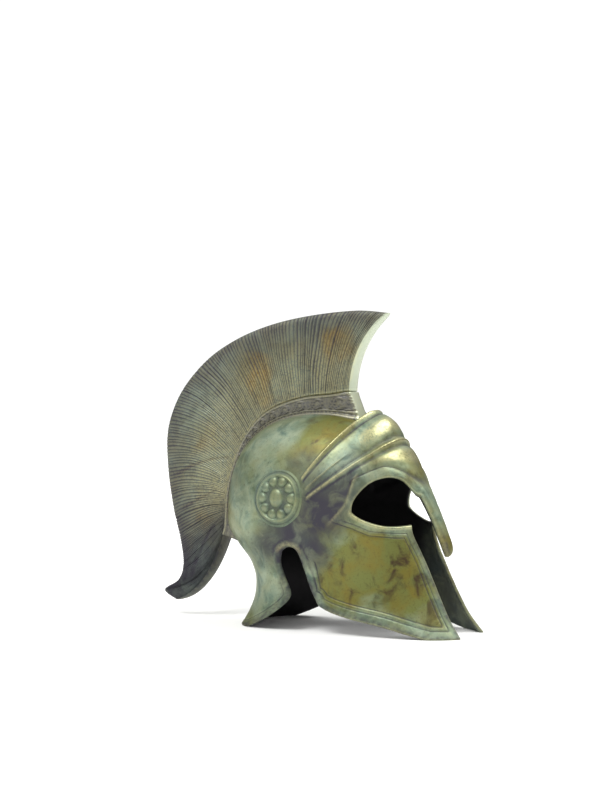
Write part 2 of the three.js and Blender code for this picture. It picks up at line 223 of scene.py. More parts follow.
# Head form: the surface that the shell, holder and rosettes share, in mm.
headForm = {
    "springUp": 74.0, "domeRise": 56.0, "domeFront": 70.0, "domeBack": 59.0, "halfWidth": 45.0,
    "centre": 18.0, "topUp": 129.9,
    "browRise": 58.5, "browHalf": 45.9, "browTop": 131.5,
    "rosette": (12.4, 79.8),        # forward and up of the rosette's middle
    # up, back, front, half width, forward place of the widest point, squareness
    "plan": [
        (0, -31.5, 122.5, 40.2, 23, 2.6), (10, -25.6, 114.2, 38.2, 25, 2.5),
        (20, -22.7, 108.4, 37.2, 27, 2.4),
        (30, -22.9, 103.4, 37.4, 28, 2.3), (40, -26.4, 98.3, 38.6, 25, 2.3), (50, -34.4, 93.3, 41, 21, 2.3),
        (60, -40.6, 89.8, 43.8, 18, 2.3), (74, -41, 88, 45, 18, 2.3)],
    # up, front of the brow
    "brow": [(60, 90), (80, 88.5), (90, 85), (100, 80), (110, 74), (118, 69.5), (124, 65.5), (128, 61),
        (130, 57), (131.5, 48)],
}


# Plan of the head at one height: columns back, front, half width, widest, squareness. Above the
# springing the width and front follow a quarter ellipse and the back a squarer one.
def headPlan(up, grow=0.0):
    form = headForm
    low = smoothTable(form["plan"], np.clip(up, 0, form["springUp"]))
    low = low + np.array([-grow, grow, grow, 0, 0])
    t = np.clip((up - form["springUp"]) / (form["domeRise"] + grow), 0, 1)
    rounded = np.sqrt(1 - t * t)
    full = (1 - t ** 2.4) ** (1 / 2.4)
    centre = form["centre"] + 4 * t * t
    high = np.stack([
        centre - (form["domeBack"] + grow + 4 * t * t) * full,
        centre + (form["domeFront"] + grow - 4 * t * t) * rounded,
        (form["halfWidth"] + grow) * rounded, centre, 2.3 - 0.3 * t], axis=-1)
    return np.where((up > form["springUp"])[..., None], high, low)


# Point of a superellipse plan at an angle, 0 in front: forward = widest + reach cos^(2/n), side = half
# sin^(2/n).
def planPoint(angle, plan):
    c, s = np.cos(angle), np.sin(angle)
    back, front, half, widest, square = np.moveaxis(plan, -1, 0)
    reach = np.where(c > 0, front - widest, widest - back)
    forward = widest + reach * np.sign(c) * np.abs(c) ** (2 / square)
    side = half * np.sign(s) * np.abs(s) ** (2 / square)
    return forward, side


# Negative inside the head, zero on its surface: |forward|^n + |side|^n - 1 in units of the plan.
def headField(forward, side, up):
    plan = headPlan(np.minimum(up, headForm["topUp"]))
    back, front, half, widest, square = np.moveaxis(plan, -1, 0)
    reach = np.where(forward > widest, front - widest, widest - back)
    value = np.abs((forward - widest) / reach) ** square + np.abs(side / half) ** square - 1
    return np.where(up > headForm["topUp"], 1.0, value)


# Negative inside the brow form, which stands ahead of the bowl and ends at its crown.
def browField(forward, side, up):
    t = np.clip((up - headForm["springUp"]) / headForm["browRise"], 0, 0.999)
    half = headForm["browHalf"] * np.sqrt(1 - t * t)
    front = smoothTable(headForm["brow"], np.clip(up, 60, headForm["browTop"]))[..., 0]
    widest = headPlan(np.minimum(up, 128))[..., 3]
    square = 2.3 - 0.3 * t
    reach = np.where(forward > widest, front - widest, widest + 20)
    value = np.abs((forward - widest) / reach) ** square + np.abs(side / half) ** square - 1
    return np.where(up > headForm["browTop"], 1.0, value)


# Distance to go from each place along its direction until the field turns positive, by bisection.
def reachOut(field, places, directions, most, steps=24):
    low = np.zeros(places.shape[:-1])
    high = np.full(places.shape[:-1], float(most))
    started = field(*np.moveaxis(places, -1, 0)) < 0
    for _ in range(steps):
        middle = (low + high) / 2
        inside = field(*np.moveaxis(places + directions * middle[..., None], -1, 0)) < 0
        low = np.where(inside, middle, low)
        high = np.where(inside, high, middle)
    return np.where(started, low, 0)


# Shell: bowl, brow, nasal, cheeks and neck, in mm. Outlines are rows of (forward, up), but the slot
# between the cheeks is (side, up).
shell = {
    "wall": 2.4, "rimRound": 1.25, "keel": 1.7, "frontSpacing": 1.03, "backSpacing": 2.1,
    "rowSpacing": 1.03, "domeSpacing": 1.15,
    # up, forward of the nasal's front, half width, thickness
    "nasal": [
        (46.2, 104.2, 2.2, 2.9), (46.6, 104.3, 2.6, 2.9), (48.8, 105.0, 4.2, 4.0), (52, 104.6, 5.0, 4.5),
        (58.4, 102.3, 5.4, 4.7),
        (70.5, 97.1, 5.8, 4.8), (82.8, 90.8, 6.7, 5.0), (88, 87.9, 7.8, 4.6), (93.5, 84.8, 9.2, 3.6),
        (100, 80.6, 10.2, 2.6), (105, 76.5, 11, 2.4)],
    "eyeTop": [(58.7, 72.6), (59.6, 78.6), (63.8, 85.6), (69.4, 90.6), (75.4, 92.6), (80.2, 91.4),
        (83.6, 87.8), (86.8, 82.6)],
    "eyeFoot": [(86.2, 64.8), (80, 64.3), (73.5, 65), (66, 67.6), (61, 70.4), (58.7, 72.6)],
    "slot": [(-17, -3), (-14, 11), (-12.5, 30), (-12.4, 48), (-15, 66), (-8, 80), (0, 85)],
    "neckFoot": [(-20, 0), (-2.9, 6.9), (9.6, 14.4), (15.6, 20), (16.2, 24.5), (11.9, 33.6),
        (10.2, 41), (12.6, 48)],
    "notchTop": [(12.6, 48), (18, 50.6), (23, 48), (26.6, 37.5), (30.5, 25.8), (36, 16.4)],
    "cheekFoot": [(36, 16.4), (44, 13.2), (57, 10), (75.6, 6.8), (92, 2.8), (104, 0)],
    # the three ridges in (forward, up): line, half width at its ends, height
    "ridges": {
        "upper": ([(26, 88), (57.2, 133.5)], (1.0, 2.0), 1.25),
        "middle": ([(30, 84), (56, 109)], (0.9, 0.8), 0.8),
        "lower": ([(30.6, 78.8), (45.6, 90.2), (56, 98.6), (64, 105.2), (71, 112.6), (76, 119)],
            (1.0, 1.9), 1.1)},
    "eyeLine": [(57, 88.2), (58, 91.1), (63.5, 94.5), (68.5, 97.3), (73, 98.9), (79.4, 96.3),
        (84, 91.5), (89, 83)],
    "crease": [(60.5, 95.5), (58, 91.1), (56.4, 83.1), (54.2, 76.7), (46.2, 67.3), (43, 64.5)],
    "panelTop": [(88, 57.2), (80.3, 57.6), (67.9, 58.9), (59.1, 62.9), (49.1, 66.2), (40, 69)],
    "panelBack": [(37.9, 24.5), (34.8, 42.1), (29, 56.8), (26, 62)],
    # (forward, up, radius, amount)
    "warmClouds": [
        (35, 122, 22, 0.75), (28, 108, 16, 0.35), (56, 36, 20, 0.8), (76, 44, 22, 0.75), (90, 28, 20, 0.5),
        (50, 25, 16, 0.5), (84, 100, 16, 0.4), (98, 66, 20, 0.3), (-34, 70, 18, 0.35), (-20, 4, 12, 0.4),
        (66, 108, 14, 0.3)],
    "darkClouds": [
        (44, 78, 26, 0.75), (32, 62, 26, 0.7), (12, 56, 22, 0.6), (28, 100, 18, 0.4), (-2, 48, 16, 0.4),
        (54, 100, 12, 0.3), (36, 46, 14, 0.5), (-30, 90, 16, 0.25), (64, 88, 16, 0.25), (30, 26, 10, 0.4)],
}


# Splits the triangles that a zero line of the level crosses, so that it runs along edges; points
# within the slack count as on it. With drop, what lies below is left out. Columns of the new points
# are mixed along the cut edges.
def cutTriangles(columns, triangles, level, drop=False, slack=0.03):
    sign = np.where(np.abs(level) < slack, 0, np.sign(level)).astype(int)
    corner = sign[triangles]
    plus, minus = (corner > 0).sum(1), (corner < 0).sum(1)
    crossed = (plus > 0) & (minus > 0)
    whole = triangles[~crossed & ((plus > 0) | (not drop))]
    rows = np.flatnonzero(crossed & (plus + minus == 3))
    picked = corner[rows]
    lone = np.where(plus[rows] == 1, (picked > 0).argmax(1), (picked < 0).argmax(1))
    a, b, c = (triangles[rows, (lone + turn) % 3] for turn in range(3))
    rows = np.flatnonzero(crossed & (plus + minus == 2))
    onLine = (corner[rows] == 0).argmax(1)
    z, p, q = (triangles[rows, (onLine + turn) % 3] for turn in range(3))
    pairs = np.sort(np.concatenate([np.stack([a, b], 1), np.stack([a, c], 1), np.stack([p, q], 1)]), axis=1)
    unique, inverse = np.unique(pairs, axis=0, return_inverse=True)
    inverse = inverse.reshape(-1) + len(columns)
    low, high = level[unique[:, 0]], level[unique[:, 1]]
    share = (low / (low - high))[:, None]
    added = columns[unique[:, 0]] * (1 - share) + columns[unique[:, 1]] * share
    ab, ac, pq = np.split(inverse, [len(a), 2 * len(a)])
    pieces = [
        (a, np.stack([a, ab, ac], 1)), (b, np.stack([ab, b, c], 1)), (c, np.stack([ab, c, ac], 1)),
        (p, np.stack([z, p, pq], 1)), (q, np.stack([z, pq, q], 1))]
    parts = [part[(sign[owner] > 0) | (not drop)] for owner, part in pieces]
    return np.concatenate([columns, added]), np.concatenate([whole] + parts)


# Points on the open rim of a set of triangles: ends of the edges that only one triangle uses.
def rimPoints(triangles, count):
    edges = np.concatenate([triangles[:, pair] for pair in ([0, 1], [1, 2], [2, 0])])
    edges = np.sort(edges, axis=1)
    unique, uses = np.unique(edges, axis=0, return_counts=True)
    rim = np.zeros(count, bool)
    rim[unique[uses == 1].ravel()] = True
    return rim


# Angles round the head, spaced evenly along the plan at mid height with closer steps in front.
def shellAngles():
    fine = np.linspace(0, np.pi, 4001)
    forward, side = planPoint(fine, headPlan(np.full(4001, 64.0)))
    step = np.hypot(np.diff(forward), np.diff(side))
    middle = (forward[1:] + forward[:-1]) / 2
    spacing = shell["backSpacing"] + (shell["frontSpacing"] - shell["backSpacing"]) * ramp(-12, 30, middle)
    travelled = runningSum(step / spacing)
    count = int(round(travelled[-1]))
    half = np.interp(np.linspace(0, travelled[-1], count + 1), travelled, fine)
    return np.concatenate([half, 2 * np.pi - half[-2:0:-1]])


# Heights of the rows: even to the springing, then even along the front of the dome.
def shellHeights():
    spring, rise, front = headForm["springUp"], headForm["domeRise"], headForm["domeFront"]
    low = np.linspace(-1.2, spring, int((spring + 1.2) / shell["rowSpacing"]) + 1)
    fine = np.linspace(0, np.pi / 2, 2001)
    travelled = runningSum(np.hypot(front * np.diff(np.cos(fine)), rise * np.diff(np.sin(fine))))
    count = int(travelled[-1] / shell["domeSpacing"])
    turn = np.interp(np.linspace(0, travelled[-1], count + 1), travelled, fine)
    return np.concatenate([low, spring + rise * np.sin(turn[1:-1])])


# Value of one column of the nasal's table at the given heights, straight between its rows.
def nasalAt(up, column):
    return np.interp(up, *np.array(shell["nasal"])[:, [0, column]].T)


# Signed clearances in mm from the eye, the gap between the cheeks, the lower edge and the nasal's sides.
def shellClearances(forward, side, up):
    smooth = np.linspace(0, 1, 41)
    eye = np.concatenate([
        curveThrough(shell["eyeTop"], smooth), [(96, 72), (96, 64.6)],
        curveThrough(shell["eyeFoot"], smooth)[:-1]])
    slotHalf = curveThrough(shell["slot"], smooth)
    slot = np.concatenate([slotHalf, slotHalf[-2::-1] * [-1, 1]])
    lower = np.concatenate([
        [(-20, -9)], curveThrough(shell["neckFoot"], smooth), curveThrough(shell["notchTop"], smooth)[1:],
        curveThrough(shell["cheekFoot"], smooth)[1:], [(104, -9)]])
    nasal = np.minimum(nasalAt(up, 2) - np.abs(side), (up - shell["nasal"][0][0]) * 1.5)
    fromEye = outlineDistance(forward, up, eye)
    fromSlot = np.where(forward > 62, outlineDistance(side, up, slot), 50.0)
    fromLower = outlineDistance(forward, up, lower)
    return fromEye, fromSlot, fromLower, np.where(forward > 40, nasal, -50.0)


# The shell's surface on a grid of heights and angles, each point with the head form, the brow form
# along the same normal, and the normal; one last point closes the crown.
def shellGrid():
    angles, heights = shellAngles(), shellHeights()
    up, angle = np.meshgrid(heights, angles, indexing="ij")
    forward, side = planPoint(angle, headPlan(up))
    head = np.stack([forward, side, up], axis=-1)
    around = np.roll(head, -1, axis=1) - np.roll(head, 1, axis=1)
    upward = np.gradient(head, axis=0)
    normal = np.cross(around, upward)
    normal /= np.linalg.norm(normal, axis=-1, keepdims=True)
    normal *= np.sign(((head - [18, 0, 60]) * normal).sum(-1))[..., None]
    brow = head + normal * reachOut(browField, head, normal, 22)[..., None]
    return head, brow, normal, around, upward


# How much of the brow form shows: from the back of the upper ridge forwards, above the eye, and
# not under the rosette. Returned with the place across and along the upper ridge.
def browShare(brow):
    forward, up = brow[..., 0], brow[..., 2]
    line, halves, _ = shell["ridges"]["upper"]
    apart, along = lineDistance(forward, up, line)
    across = -apart / (halves[0] + (halves[1] - halves[0]) * np.clip(along, 0, 1))
    footUp = np.interp(forward, [26, 30, 62, 80, 100], [76.8, 78.5, 92, 74, 70])
    share = ramp(-1.5, -0.4, across) * ramp(-0.6, 1.2, (up - footUp) * 0.92)
    fromRosette = np.hypot(forward - headForm["rosette"][0], up - headForm["rosette"][1])
    return share * ramp(18, 20, fromRosette), across, along


# Moves the nasal's strip forward to its own profile, with a keel: the sides fall back by the keel
# times (side / half width)^2.2. Returns the places, how much each is nasal, and the new normals.
def nasalShift(places, normal):
    forward, side, up = np.moveaxis(places, -1, 0)
    front = smoothTable(np.array(shell["nasal"])[1:, :2], np.clip(up, 46.6, 105))[..., 0]
    half = nasalAt(up, 2)
    keel = shell["keel"] * np.clip(np.abs(side) / half, 0, 1.3) ** 2.2
    share = (1 - ramp(0, 3.0, np.abs(side) - half)) * (forward > 40) * ramp(112, 90, up)
    move = np.maximum(front - keel - forward, -1.0) * share
    turned = normal * (1 - share[..., None]) + np.array([0.904, 0, 0.426]) * share[..., None]
    turned = turned + np.stack([0 * side, side / half * 0.25 * share, 0 * side], axis=-1)
    turned /= np.linalg.norm(turned, axis=-1, keepdims=True)
    shifted = places.copy()
    shifted[..., 0] += move
    return shifted, share, turned


# The shell: the grid is cut along the rims and along the lines of the relief, the outer face is raised
# by the relief, the inner one lies a wall's thickness inside, and both close in a half round at the rim.
def buildShell():
    head, brow, normal, around, upward = shellGrid()
    rows, columnsWide = head.shape[:2]
    share, _, _ = browShare(brow)
    lifted = head + (brow - head) * share[..., None]
    fromEye, fromSlot, fromLower, nasal = shellClearances(*np.moveaxis(lifted, -1, 0))
    clear = np.minimum(np.minimum(fromEye, fromSlot), np.minimum(fromLower, lifted[..., 2]))
    keep = np.maximum(clear, nasal)
    # true distance along the surface: the clearance over the length of its surface gradient
    across, along = (np.roll(keep, -1, axis=1) - np.roll(keep, 1, axis=1)), np.gradient(keep, axis=0)
    ee, ff, gg = (around ** 2).sum(-1), (around * upward).sum(-1), (upward ** 2).sum(-1)
    slope = np.sqrt((gg * across ** 2 - 2 * ff * across * along + ee * along ** 2)
        / np.maximum(ee * gg - ff ** 2, 1e-9))
    edge = keep / np.clip(slope, 0.35, 1.2)
    columns = np.concatenate([head, brow, normal, edge[..., None]], axis=-1).reshape(-1, 10)
    crown = np.array([[22.0, 0, 130.0, 22.0, 0, 131.5, 0, 0, 1, 50.0]])
    columns = np.concatenate([columns, crown])
    quads = gridQuads(rows, columnsWide, closed=True)
    top = (rows - 1) * columnsWide + np.arange(columnsWide)
    fan = np.stack([top, np.roll(top, -1), np.full(columnsWide, len(columns) - 1)], axis=1)
    triangles = np.concatenate([quads[:, [0, 1, 2]], quads[:, [0, 2, 3]], fan])
    columns, triangles = cutTriangles(columns, triangles, columns[:, 9], drop=True, slack=0.01)
    for _ in range(3):
        rim = rimPoints(triangles, len(columns))
        triangles = triangles[~rim[triangles].all(1)]
    rim = rimPoints(triangles, len(columns))
    columns[:, 9] = np.where(rim, 0, np.maximum(columns[:, 9], 0.02))
    for level in (0.3, 0.8):
        columns, triangles = cutTriangles(columns, triangles, columns[:, 9] - level)
    rim = np.concatenate([rim, np.zeros(len(columns) - len(rim), bool)])

    # fields that the relief follows, carried as further columns
    share, acrossUpper, alongUpper = browShare(columns[:, 3:6])
    lifted = columns[:, :3] + (columns[:, 3:6] - columns[:, :3]) * share[:, None]
    forward, side, up = lifted.T
    fromEye, fromSlot, fromLower, nasal = shellClearances(forward, side, up)
    terms = np.abs(np.stack([fromEye, fromSlot, fromLower, np.where(up < 3, up, 50), nasal], axis=1))
    zone = terms.argmin(1)
    rimPlaces = lifted[rim]
    rimZone = zone[rim]
    rimForward, rimUp = rimPlaces[:, 0], rimPlaces[:, 2]
    fromRim = nearest(lifted, rimPlaces)
    fromEyeRim = nearest(lifted, rimPlaces[(rimZone == 0)])
    fromFront = nearest(lifted, rimPlaces[(rimZone == 1) & (rimUp < 66)])
    fromFoot = nearest(lifted, rimPlaces[((rimZone == 2) | (rimZone == 3)) & (rimForward > 34)])
    fromNotch = nearest(lifted,
        rimPlaces[(rimZone == 2) & (rimForward > 9) & (rimForward < 34) & (rimUp > 17)])
    fromNeck = nearest(lifted,
        rimPlaces[((rimZone == 2) | (rimZone == 3)) & (rimForward < 16) & (rimUp < 30)])
    apartTop, _ = lineDistance(forward, up, shell["panelTop"])
    apartBack, _ = lineDistance(forward, up, shell["panelBack"])
    panel = np.minimum(np.minimum(7.8 + apartTop, 7.8 - apartBack),
        np.minimum(fromFront * 1.1, fromFoot * 0.91))
    fields = {"share": share, "acrossUpper": acrossUpper, "alongUpper": alongUpper}
    for name in ("middle", "lower"):
        line, halves, _ = shell["ridges"][name]
        apart, along = lineDistance(forward, up, line)
        half = halves[0] + (halves[1] - halves[0]) * np.clip(along, 0, 1)
        fields["across" + name.title()] = apart / half
        fields["along" + name.title()] = along
    for name, along in (("crease", "alongCrease"), ("eyeLine", "alongEye")):
        smoothLine = curveThrough(shell[name], np.linspace(0, 1, 41))
        fields[name], fields[along] = lineDistance(forward, up, smoothLine)
    fields.update(panel=panel, fromRim=fromRim, fromEye=fromEyeRim, fromNotch=fromNotch, fromNeck=fromNeck)
    names = list(fields)
    columns = np.concatenate([columns, np.stack([fields[name] for name in names], axis=1)], axis=1)
    index = {name: 10 + place for place, name in enumerate(names)}
    innerTriangles = triangles
    innerCount = len(columns)

    # cuts along the lines of the relief, kept away from the rim and from the rest of the shell
    def at(name):
        return columns[:, index[name]]

    middleLevels = (-0.5, 0, 0.5)
    cuts = [
        ("acrossUpper", (-1.5, -1.1, -0.75, -0.4, 0, 0.6, 1.2, 1.7), lambda: -0.02 - at("alongUpper")),
        ("acrossLower", (-1.6, -1.0, -0.5, 0, 0.5, 1.0), lambda: 0.02 - at("alongLower")),
        ("acrossMiddle", (-1.0, 0, 1.0),
         lambda: np.maximum(0.02 - at("alongMiddle"), at("alongMiddle") - 0.9)),
        ("crease", middleLevels, lambda: np.maximum(-at("alongCrease"), at("alongCrease") - 1)),
        ("eyeLine", middleLevels, lambda: np.maximum(-at("alongEye"), at("alongEye") - 1)),
        ("panel", (4.75, 5.2, 5.65, 7.35, 7.8, 8.25),
         lambda: np.maximum(columns[:, 2] - 67, 34 - columns[:, 0])),
        ("fromNeck", (3.8, 4.2, 4.6), lambda: np.maximum(columns[:, 0] - 16, columns[:, 2] - 34))]
    for name, levels, elsewhere in cuts:
        for level in levels:
            value = np.maximum(at(name) - level, np.maximum(1.3 - at("fromRim"), elsewhere()))
            columns, triangles = cutTriangles(columns, triangles, value)

    field = {name: columns[:, place] for name, place in index.items()}
    relief, wearAndHighlight, grimeAndShade, warm = shellRelief(field, columns)
    share = field["share"]
    lifted = columns[:, :3] + (columns[:, 3:6] - columns[:, :3]) * share[:, None]
    shifted, nasalShare, direction = nasalShift(lifted, columns[:, 6:9])
    direction /= np.linalg.norm(direction, axis=1, keepdims=True)
    thick = shell["wall"] + nasalShare * (nasalAt(columns[:, 2], 3) - shell["wall"])
    outer = shifted + direction * relief[:, None]
    inner = shifted - direction * thick[:, None]
    edge = np.maximum(columns[:, 9], 0)
    rounding = shell["rimRound"] * (1 + 0.4 * nasalShare)
    swell = np.sqrt(1 - (1 - np.clip(edge / rounding, 0, 1)) ** 2)
    middle, half = (outer + inner) / 2, (outer - inner) / 2
    outer = middle + half * swell[:, None]
    inner = middle - half * swell[:, None]

    outerCount = len(columns)
    back = np.arange(innerCount) + outerCount
    back = np.where(rim, np.arange(innerCount), back)
    places = np.concatenate([outer, inner[:innerCount]])
    faces = np.concatenate([triangles, back[innerTriangles][:, ::-1]])
    normalCheck = np.cross(places[faces[0, 1]] - places[faces[0, 0]],
        places[faces[0, 2]] - places[faces[0, 0]])
    if normalCheck @ columns[faces[0, 0], 6:9] < 0:
        faces = faces[:, ::-1]
    # painted shade on the inner face: it is painted dark, less so inside the front of the cheeks, where the
    # floor's light reaches
    inside = np.concatenate([np.zeros(outerCount),
        1 - 0.8 * ramp(66, 88, columns[:innerCount, 0]) * ramp(66, 58, columns[:innerCount, 2])])
    wearAndHighlight = np.concatenate([wearAndHighlight, np.zeros(innerCount)])
    warm = np.concatenate([warm, np.zeros(innerCount)])
    # the inner face is darkened further by the same mask, as part of its painted shade
    grimeAndShade = np.concatenate([grimeAndShade, np.full(innerCount, 0.6)])
    used = np.unique(faces)
    renumber = np.zeros(len(places), int)
    renumber[used] = np.arange(len(used))
    return makePiece("shell_bronze_cast", toFrame(places[used]), [renumber[faces]],
                     {"wearAndHighlight": wearAndHighlight[used], "grimeAndShade": grimeAndShade[used], "warm": warm[used], "inside": inside[used]})


# Height of the relief in mm at each point of the shell, with how polished, dark and warm it is, where the
# polish of the brow's ridges and swells is partly real wear and partly a painted highlight: each mark is a
# raised cosine across its line, the brow swells in half sines, and the fold fades backwards.
def shellRelief(field, columns):
    forward, side, up = columns[:, 0], columns[:, 1], columns[:, 2]
    relief = 0.12 * softNoise(columns[:, :3], 34) + 0.05 * softNoise(columns[:, :3], 11, 3)
    wearAndHighlight, grimeAndShade = np.zeros((2, len(columns)))
    front = ramp(0.45, 0.85, field["alongLower"])
    fromRosette = np.hypot(forward - headForm["rosette"][0], up - headForm["rosette"][1])
    awayFromRosette = ramp(18.2, 21, fromRosette)
    onUpper = ramp(-0.02, 0.05, field["alongUpper"]) * awayFromRosette
    onLower = ramp(0, 0.06, field["alongLower"]) * awayFromRosette
    onMiddle = ramp(0, 0.08, field["alongMiddle"]) * ramp(0.95, 0.55, field["alongMiddle"])
    onMiddle *= awayFromRosette
    onFold = ramp(-0.02, 0.1, field["alongCrease"]) * ramp(1.02, 0.8, field["alongCrease"])
    onEyeLine = ramp(-0.05, 0.05, field["alongEye"]) * ramp(1.0, 0.95, field["alongEye"])
    onEyeLine *= np.abs(up - 90) < 16
    underEye = ramp(76, 71, up) * (forward > 50)
    onCheek = ramp(32, 35, forward) * ramp(69, 66, up) * ramp(8, 11, np.abs(side))
    onCheek *= 1 - ramp(52, 60, up) * ramp(48, 41, forward)
    onNeck = ramp(15, 12, forward) * ramp(33, 29, up)
    onNotch = ramp(14, 22, up) * ramp(4, 9, forward) * ramp(40, 34, forward)
    marks = [
        # line, offset and half width in its units, where it shows, height in mm, polish with painted
        # highlight, dirt
        ("acrossUpper", 0, 1.15, onUpper, 0.8 + 0.6 * np.clip(field["alongUpper"], 0, 1), 0.8, 0),
        ("acrossLower", 0, 1.1, onLower, 0.8 + 0.45 * np.clip(field["alongLower"], 0, 1), 0.55, 0),
        ("acrossMiddle", 0, 1.1, onMiddle, 0.75, 0.3, 0),
        ("acrossUpper", 1.75, 0.75, onUpper, -0.2 - 0.7 * front, 0, 0.9),
        ("acrossLower", -1.7, 0.8, onLower, -0.15 - 0.5 * front, 0, 0.6),
        ("acrossLower", 1.6, 0.7, onLower, -0.1 - 0.45 * front, 0, 0.5),
        ("crease", 0.8, 1.6, onFold, 0.25, 0.25, 0),
        ("eyeLine", 0, 0.75, onEyeLine, -0.5, 0, 0.6),
        ("fromEye", 1.2, 1.6, underEye, 0.45, 0.5, 0),
        ("panel", 7.8, 0.6, onCheek, -0.45, 0, 0.75),
        ("panel", 5.2, 0.6, onCheek, -0.3825, 0, 0.6375),
        ("panel", 6.5, 1.2, onCheek, 0.15, 0, 0),
        ("fromNeck", 4.2, 0.6, onNeck, -0.45, 0, 0.7),
        ("fromNotch", 2.4, 2.3, onNotch, 0.9, 0.35 * ramp(46, 50, up), 0),
        ("fromNotch", 5.2, 1.2, onNotch, 0, 0, 0.5)]
    for line, offset, width, where, height, polishAndHighlight, dirt in marks:
        mark = bump((field[line] - offset) / width) * where
        relief += height * mark
        wearAndHighlight += polishAndHighlight * mark
        grimeAndShade += dirt * mark

    # swells of the brow between the ridges and down to the eye line
    between = np.clip((field["acrossUpper"] - 1.9) * 1.6, 0.001, None)
    below = np.clip((field["acrossLower"] - 1.3) * 1.6, 0.001, None)
    upperSwell = np.sin(np.pi * between / (between + below)) * front
    upperSwell *= (field["acrossUpper"] > 1.9) & (field["acrossLower"] > 1.3)
    under = np.clip((-field["acrossLower"] - 1.4) * 1.7, 0.001, None)
    above = np.clip(field["eyeLine"], 0.001, None)
    lowerSwell = np.sin(np.pi * under / (under + above)) * front
    lowerSwell *= (field["acrossLower"] < -1.4) & (field["eyeLine"] > 0) & (forward > 55)
    relief += 0.9 * upperSwell + 0.8 * lowerSwell
    # the tops of the swells are painted pale brass: partly real wear, partly a painted highlight
    wearAndHighlight += 0.75 * ramp(0.5, 1, upperSwell) + 0.75 * ramp(0.5, 1, lowerSwell)

    # fold behind the eye: the side ahead of it stands over a hollow that runs out backwards
    hollow = np.exp(-np.clip(-field["crease"], 0, None) / 8) * ramp(1.1, -1.1, field["crease"])
    hollow *= onFold * ramp(-1.0, -2.4, field["acrossLower"])
    border = ramp(0.3, -0.6, field["eyeLine"]) * ramp(6, 3.5, field["fromEye"]) * (up > 72)
    relief += 0.25 * border - 0.85 * hollow
    grimeAndShade += 0.35 * hollow
    wearAndHighlight += 0.25 * ramp(1.6, 0.4, field["fromRim"]) * (forward > 40)

    # clouds of colour: warm ones on the crown and the cheeks, dark ones round the rosette, ear and fold
    warm = 0.1 + 0.42 * ramp(5, 9, field["panel"]) * ramp(30, 40, forward) * ramp(70, 64, up)
    warm += cloudSum(shell["warmClouds"], forward, up)
    grimeAndShade += cloudSum(shell["darkClouds"], forward, up, 0.2)
    # dark along the lower rims and on the sides of the nasal
    lowRim = ramp(4.2, 1.2, field["fromRim"]) * ramp(64, 58, up)
    grimeAndShade += (0.5 + 0.4 * softNoise(columns[:, :3], 5, 9)) * lowRim
    nasalSides = ramp(2.6, 4.2, np.abs(side)) * ramp(12, 9, np.abs(side))
    grimeAndShade += 0.85 * nasalSides * ramp(90, 95, forward) * ramp(102, 94, up)
    return relief, np.clip(wearAndHighlight, 0, 1), np.clip(grimeAndShade, 0, 1), np.clip(warm, 0, 1)


shellPiece = buildShell()
print("shell done")


# Plume, and the root line that it shares with its holder, in mm.
crest = {
    # front to back: where the hair leaves the holder, the point that bends it, and its tip, each (forward,
    # up)
    "rows": [
        (39.6, 142.6, 40.8, 171.4, 63.5, 189.2), (26.8, 140.9, 28.8, 167.9, 42.8, 191.1),
        (10.5, 139.5, 8.7, 164.4, 11.8, 189.1),
        (-5.0, 135.8, -11.0, 159.9, -17.0, 184.1), (-18.5, 130.0, -28.3, 154.0, -42.6, 175.5),
        (-29.0, 120.8, -43.0, 145.2, -65.3, 162.3),
        (-36.8, 109.5, -54.8, 134.4, -84.5, 142.2), (-42.0, 97.5, -63.4, 119.9, -94.3, 119.2),
        (-45.6, 86.0, -68.0, 101.2, -94.4, 95.0),
        (-47.2, 75.5, -69.7, 79.1, -90.2, 69.0), (-47.8, 67.5, -67.2, 59.6, -84.6, 48.0),
        (-48.2, 61.5, -64.2, 45.6, -82.6, 32.5),
        (-48.6, 58.5, -62.0, 27.0, -86.5, 22.5), (-49.2, 56.0, -63.0, 17.0, -97.4, 15.4),
        (-50.0, 53.5, -64.0, 14.0, -88.5, 9.6)],
    "half": 5.8,
    # fraction of the hair's length, fraction of the half thickness
    "taper": [(0, 1), (0.3, 1), (0.62, 0.97), (0.88, 0.9), (0.95, 0.8), (0.985, 0.6), (1, 0.35)],
    "strands": 158, "samples": 4, "along": 34, "depth": 0.5,
    # (forward, up, radius, amount)
    "warmClouds": [(-27, 155, 17, 0.95), (-22, 141, 12, 0.6), (33, 171, 15, 0.8), (26, 176, 10, 0.4),
        (-64, 116, 14, 0.4), (-68, 62, 12, 0.35)],
    # long grooves between locks, (forward, up)
    "locks": [
        [(-43.4, 102.0), (-50.3, 101.6), (-59.4, 100.3), (-73.5, 96.3), (-89.9, 88.4)],
        [(-54.0, 81.9), (-65.9, 76.3), (-85.4, 66.5)],
        [(-49.8, 65.9), (-59.5, 56.5), (-71.3, 35.9), (-75.5, 21.9)]],
}


# Place on the crest: the quadratic curve through root, bend and tip at u from front to back, v root to tip.
def crestPoint(u, v):
    row = curveThrough(crest["rows"], u)
    root, bend, tip = row[..., 0:2], row[..., 2:4], row[..., 4:6]
    v = v[..., None]
    return root * (1 - v) ** 2 + 2 * bend * v * (1 - v) + tip * v ** 2


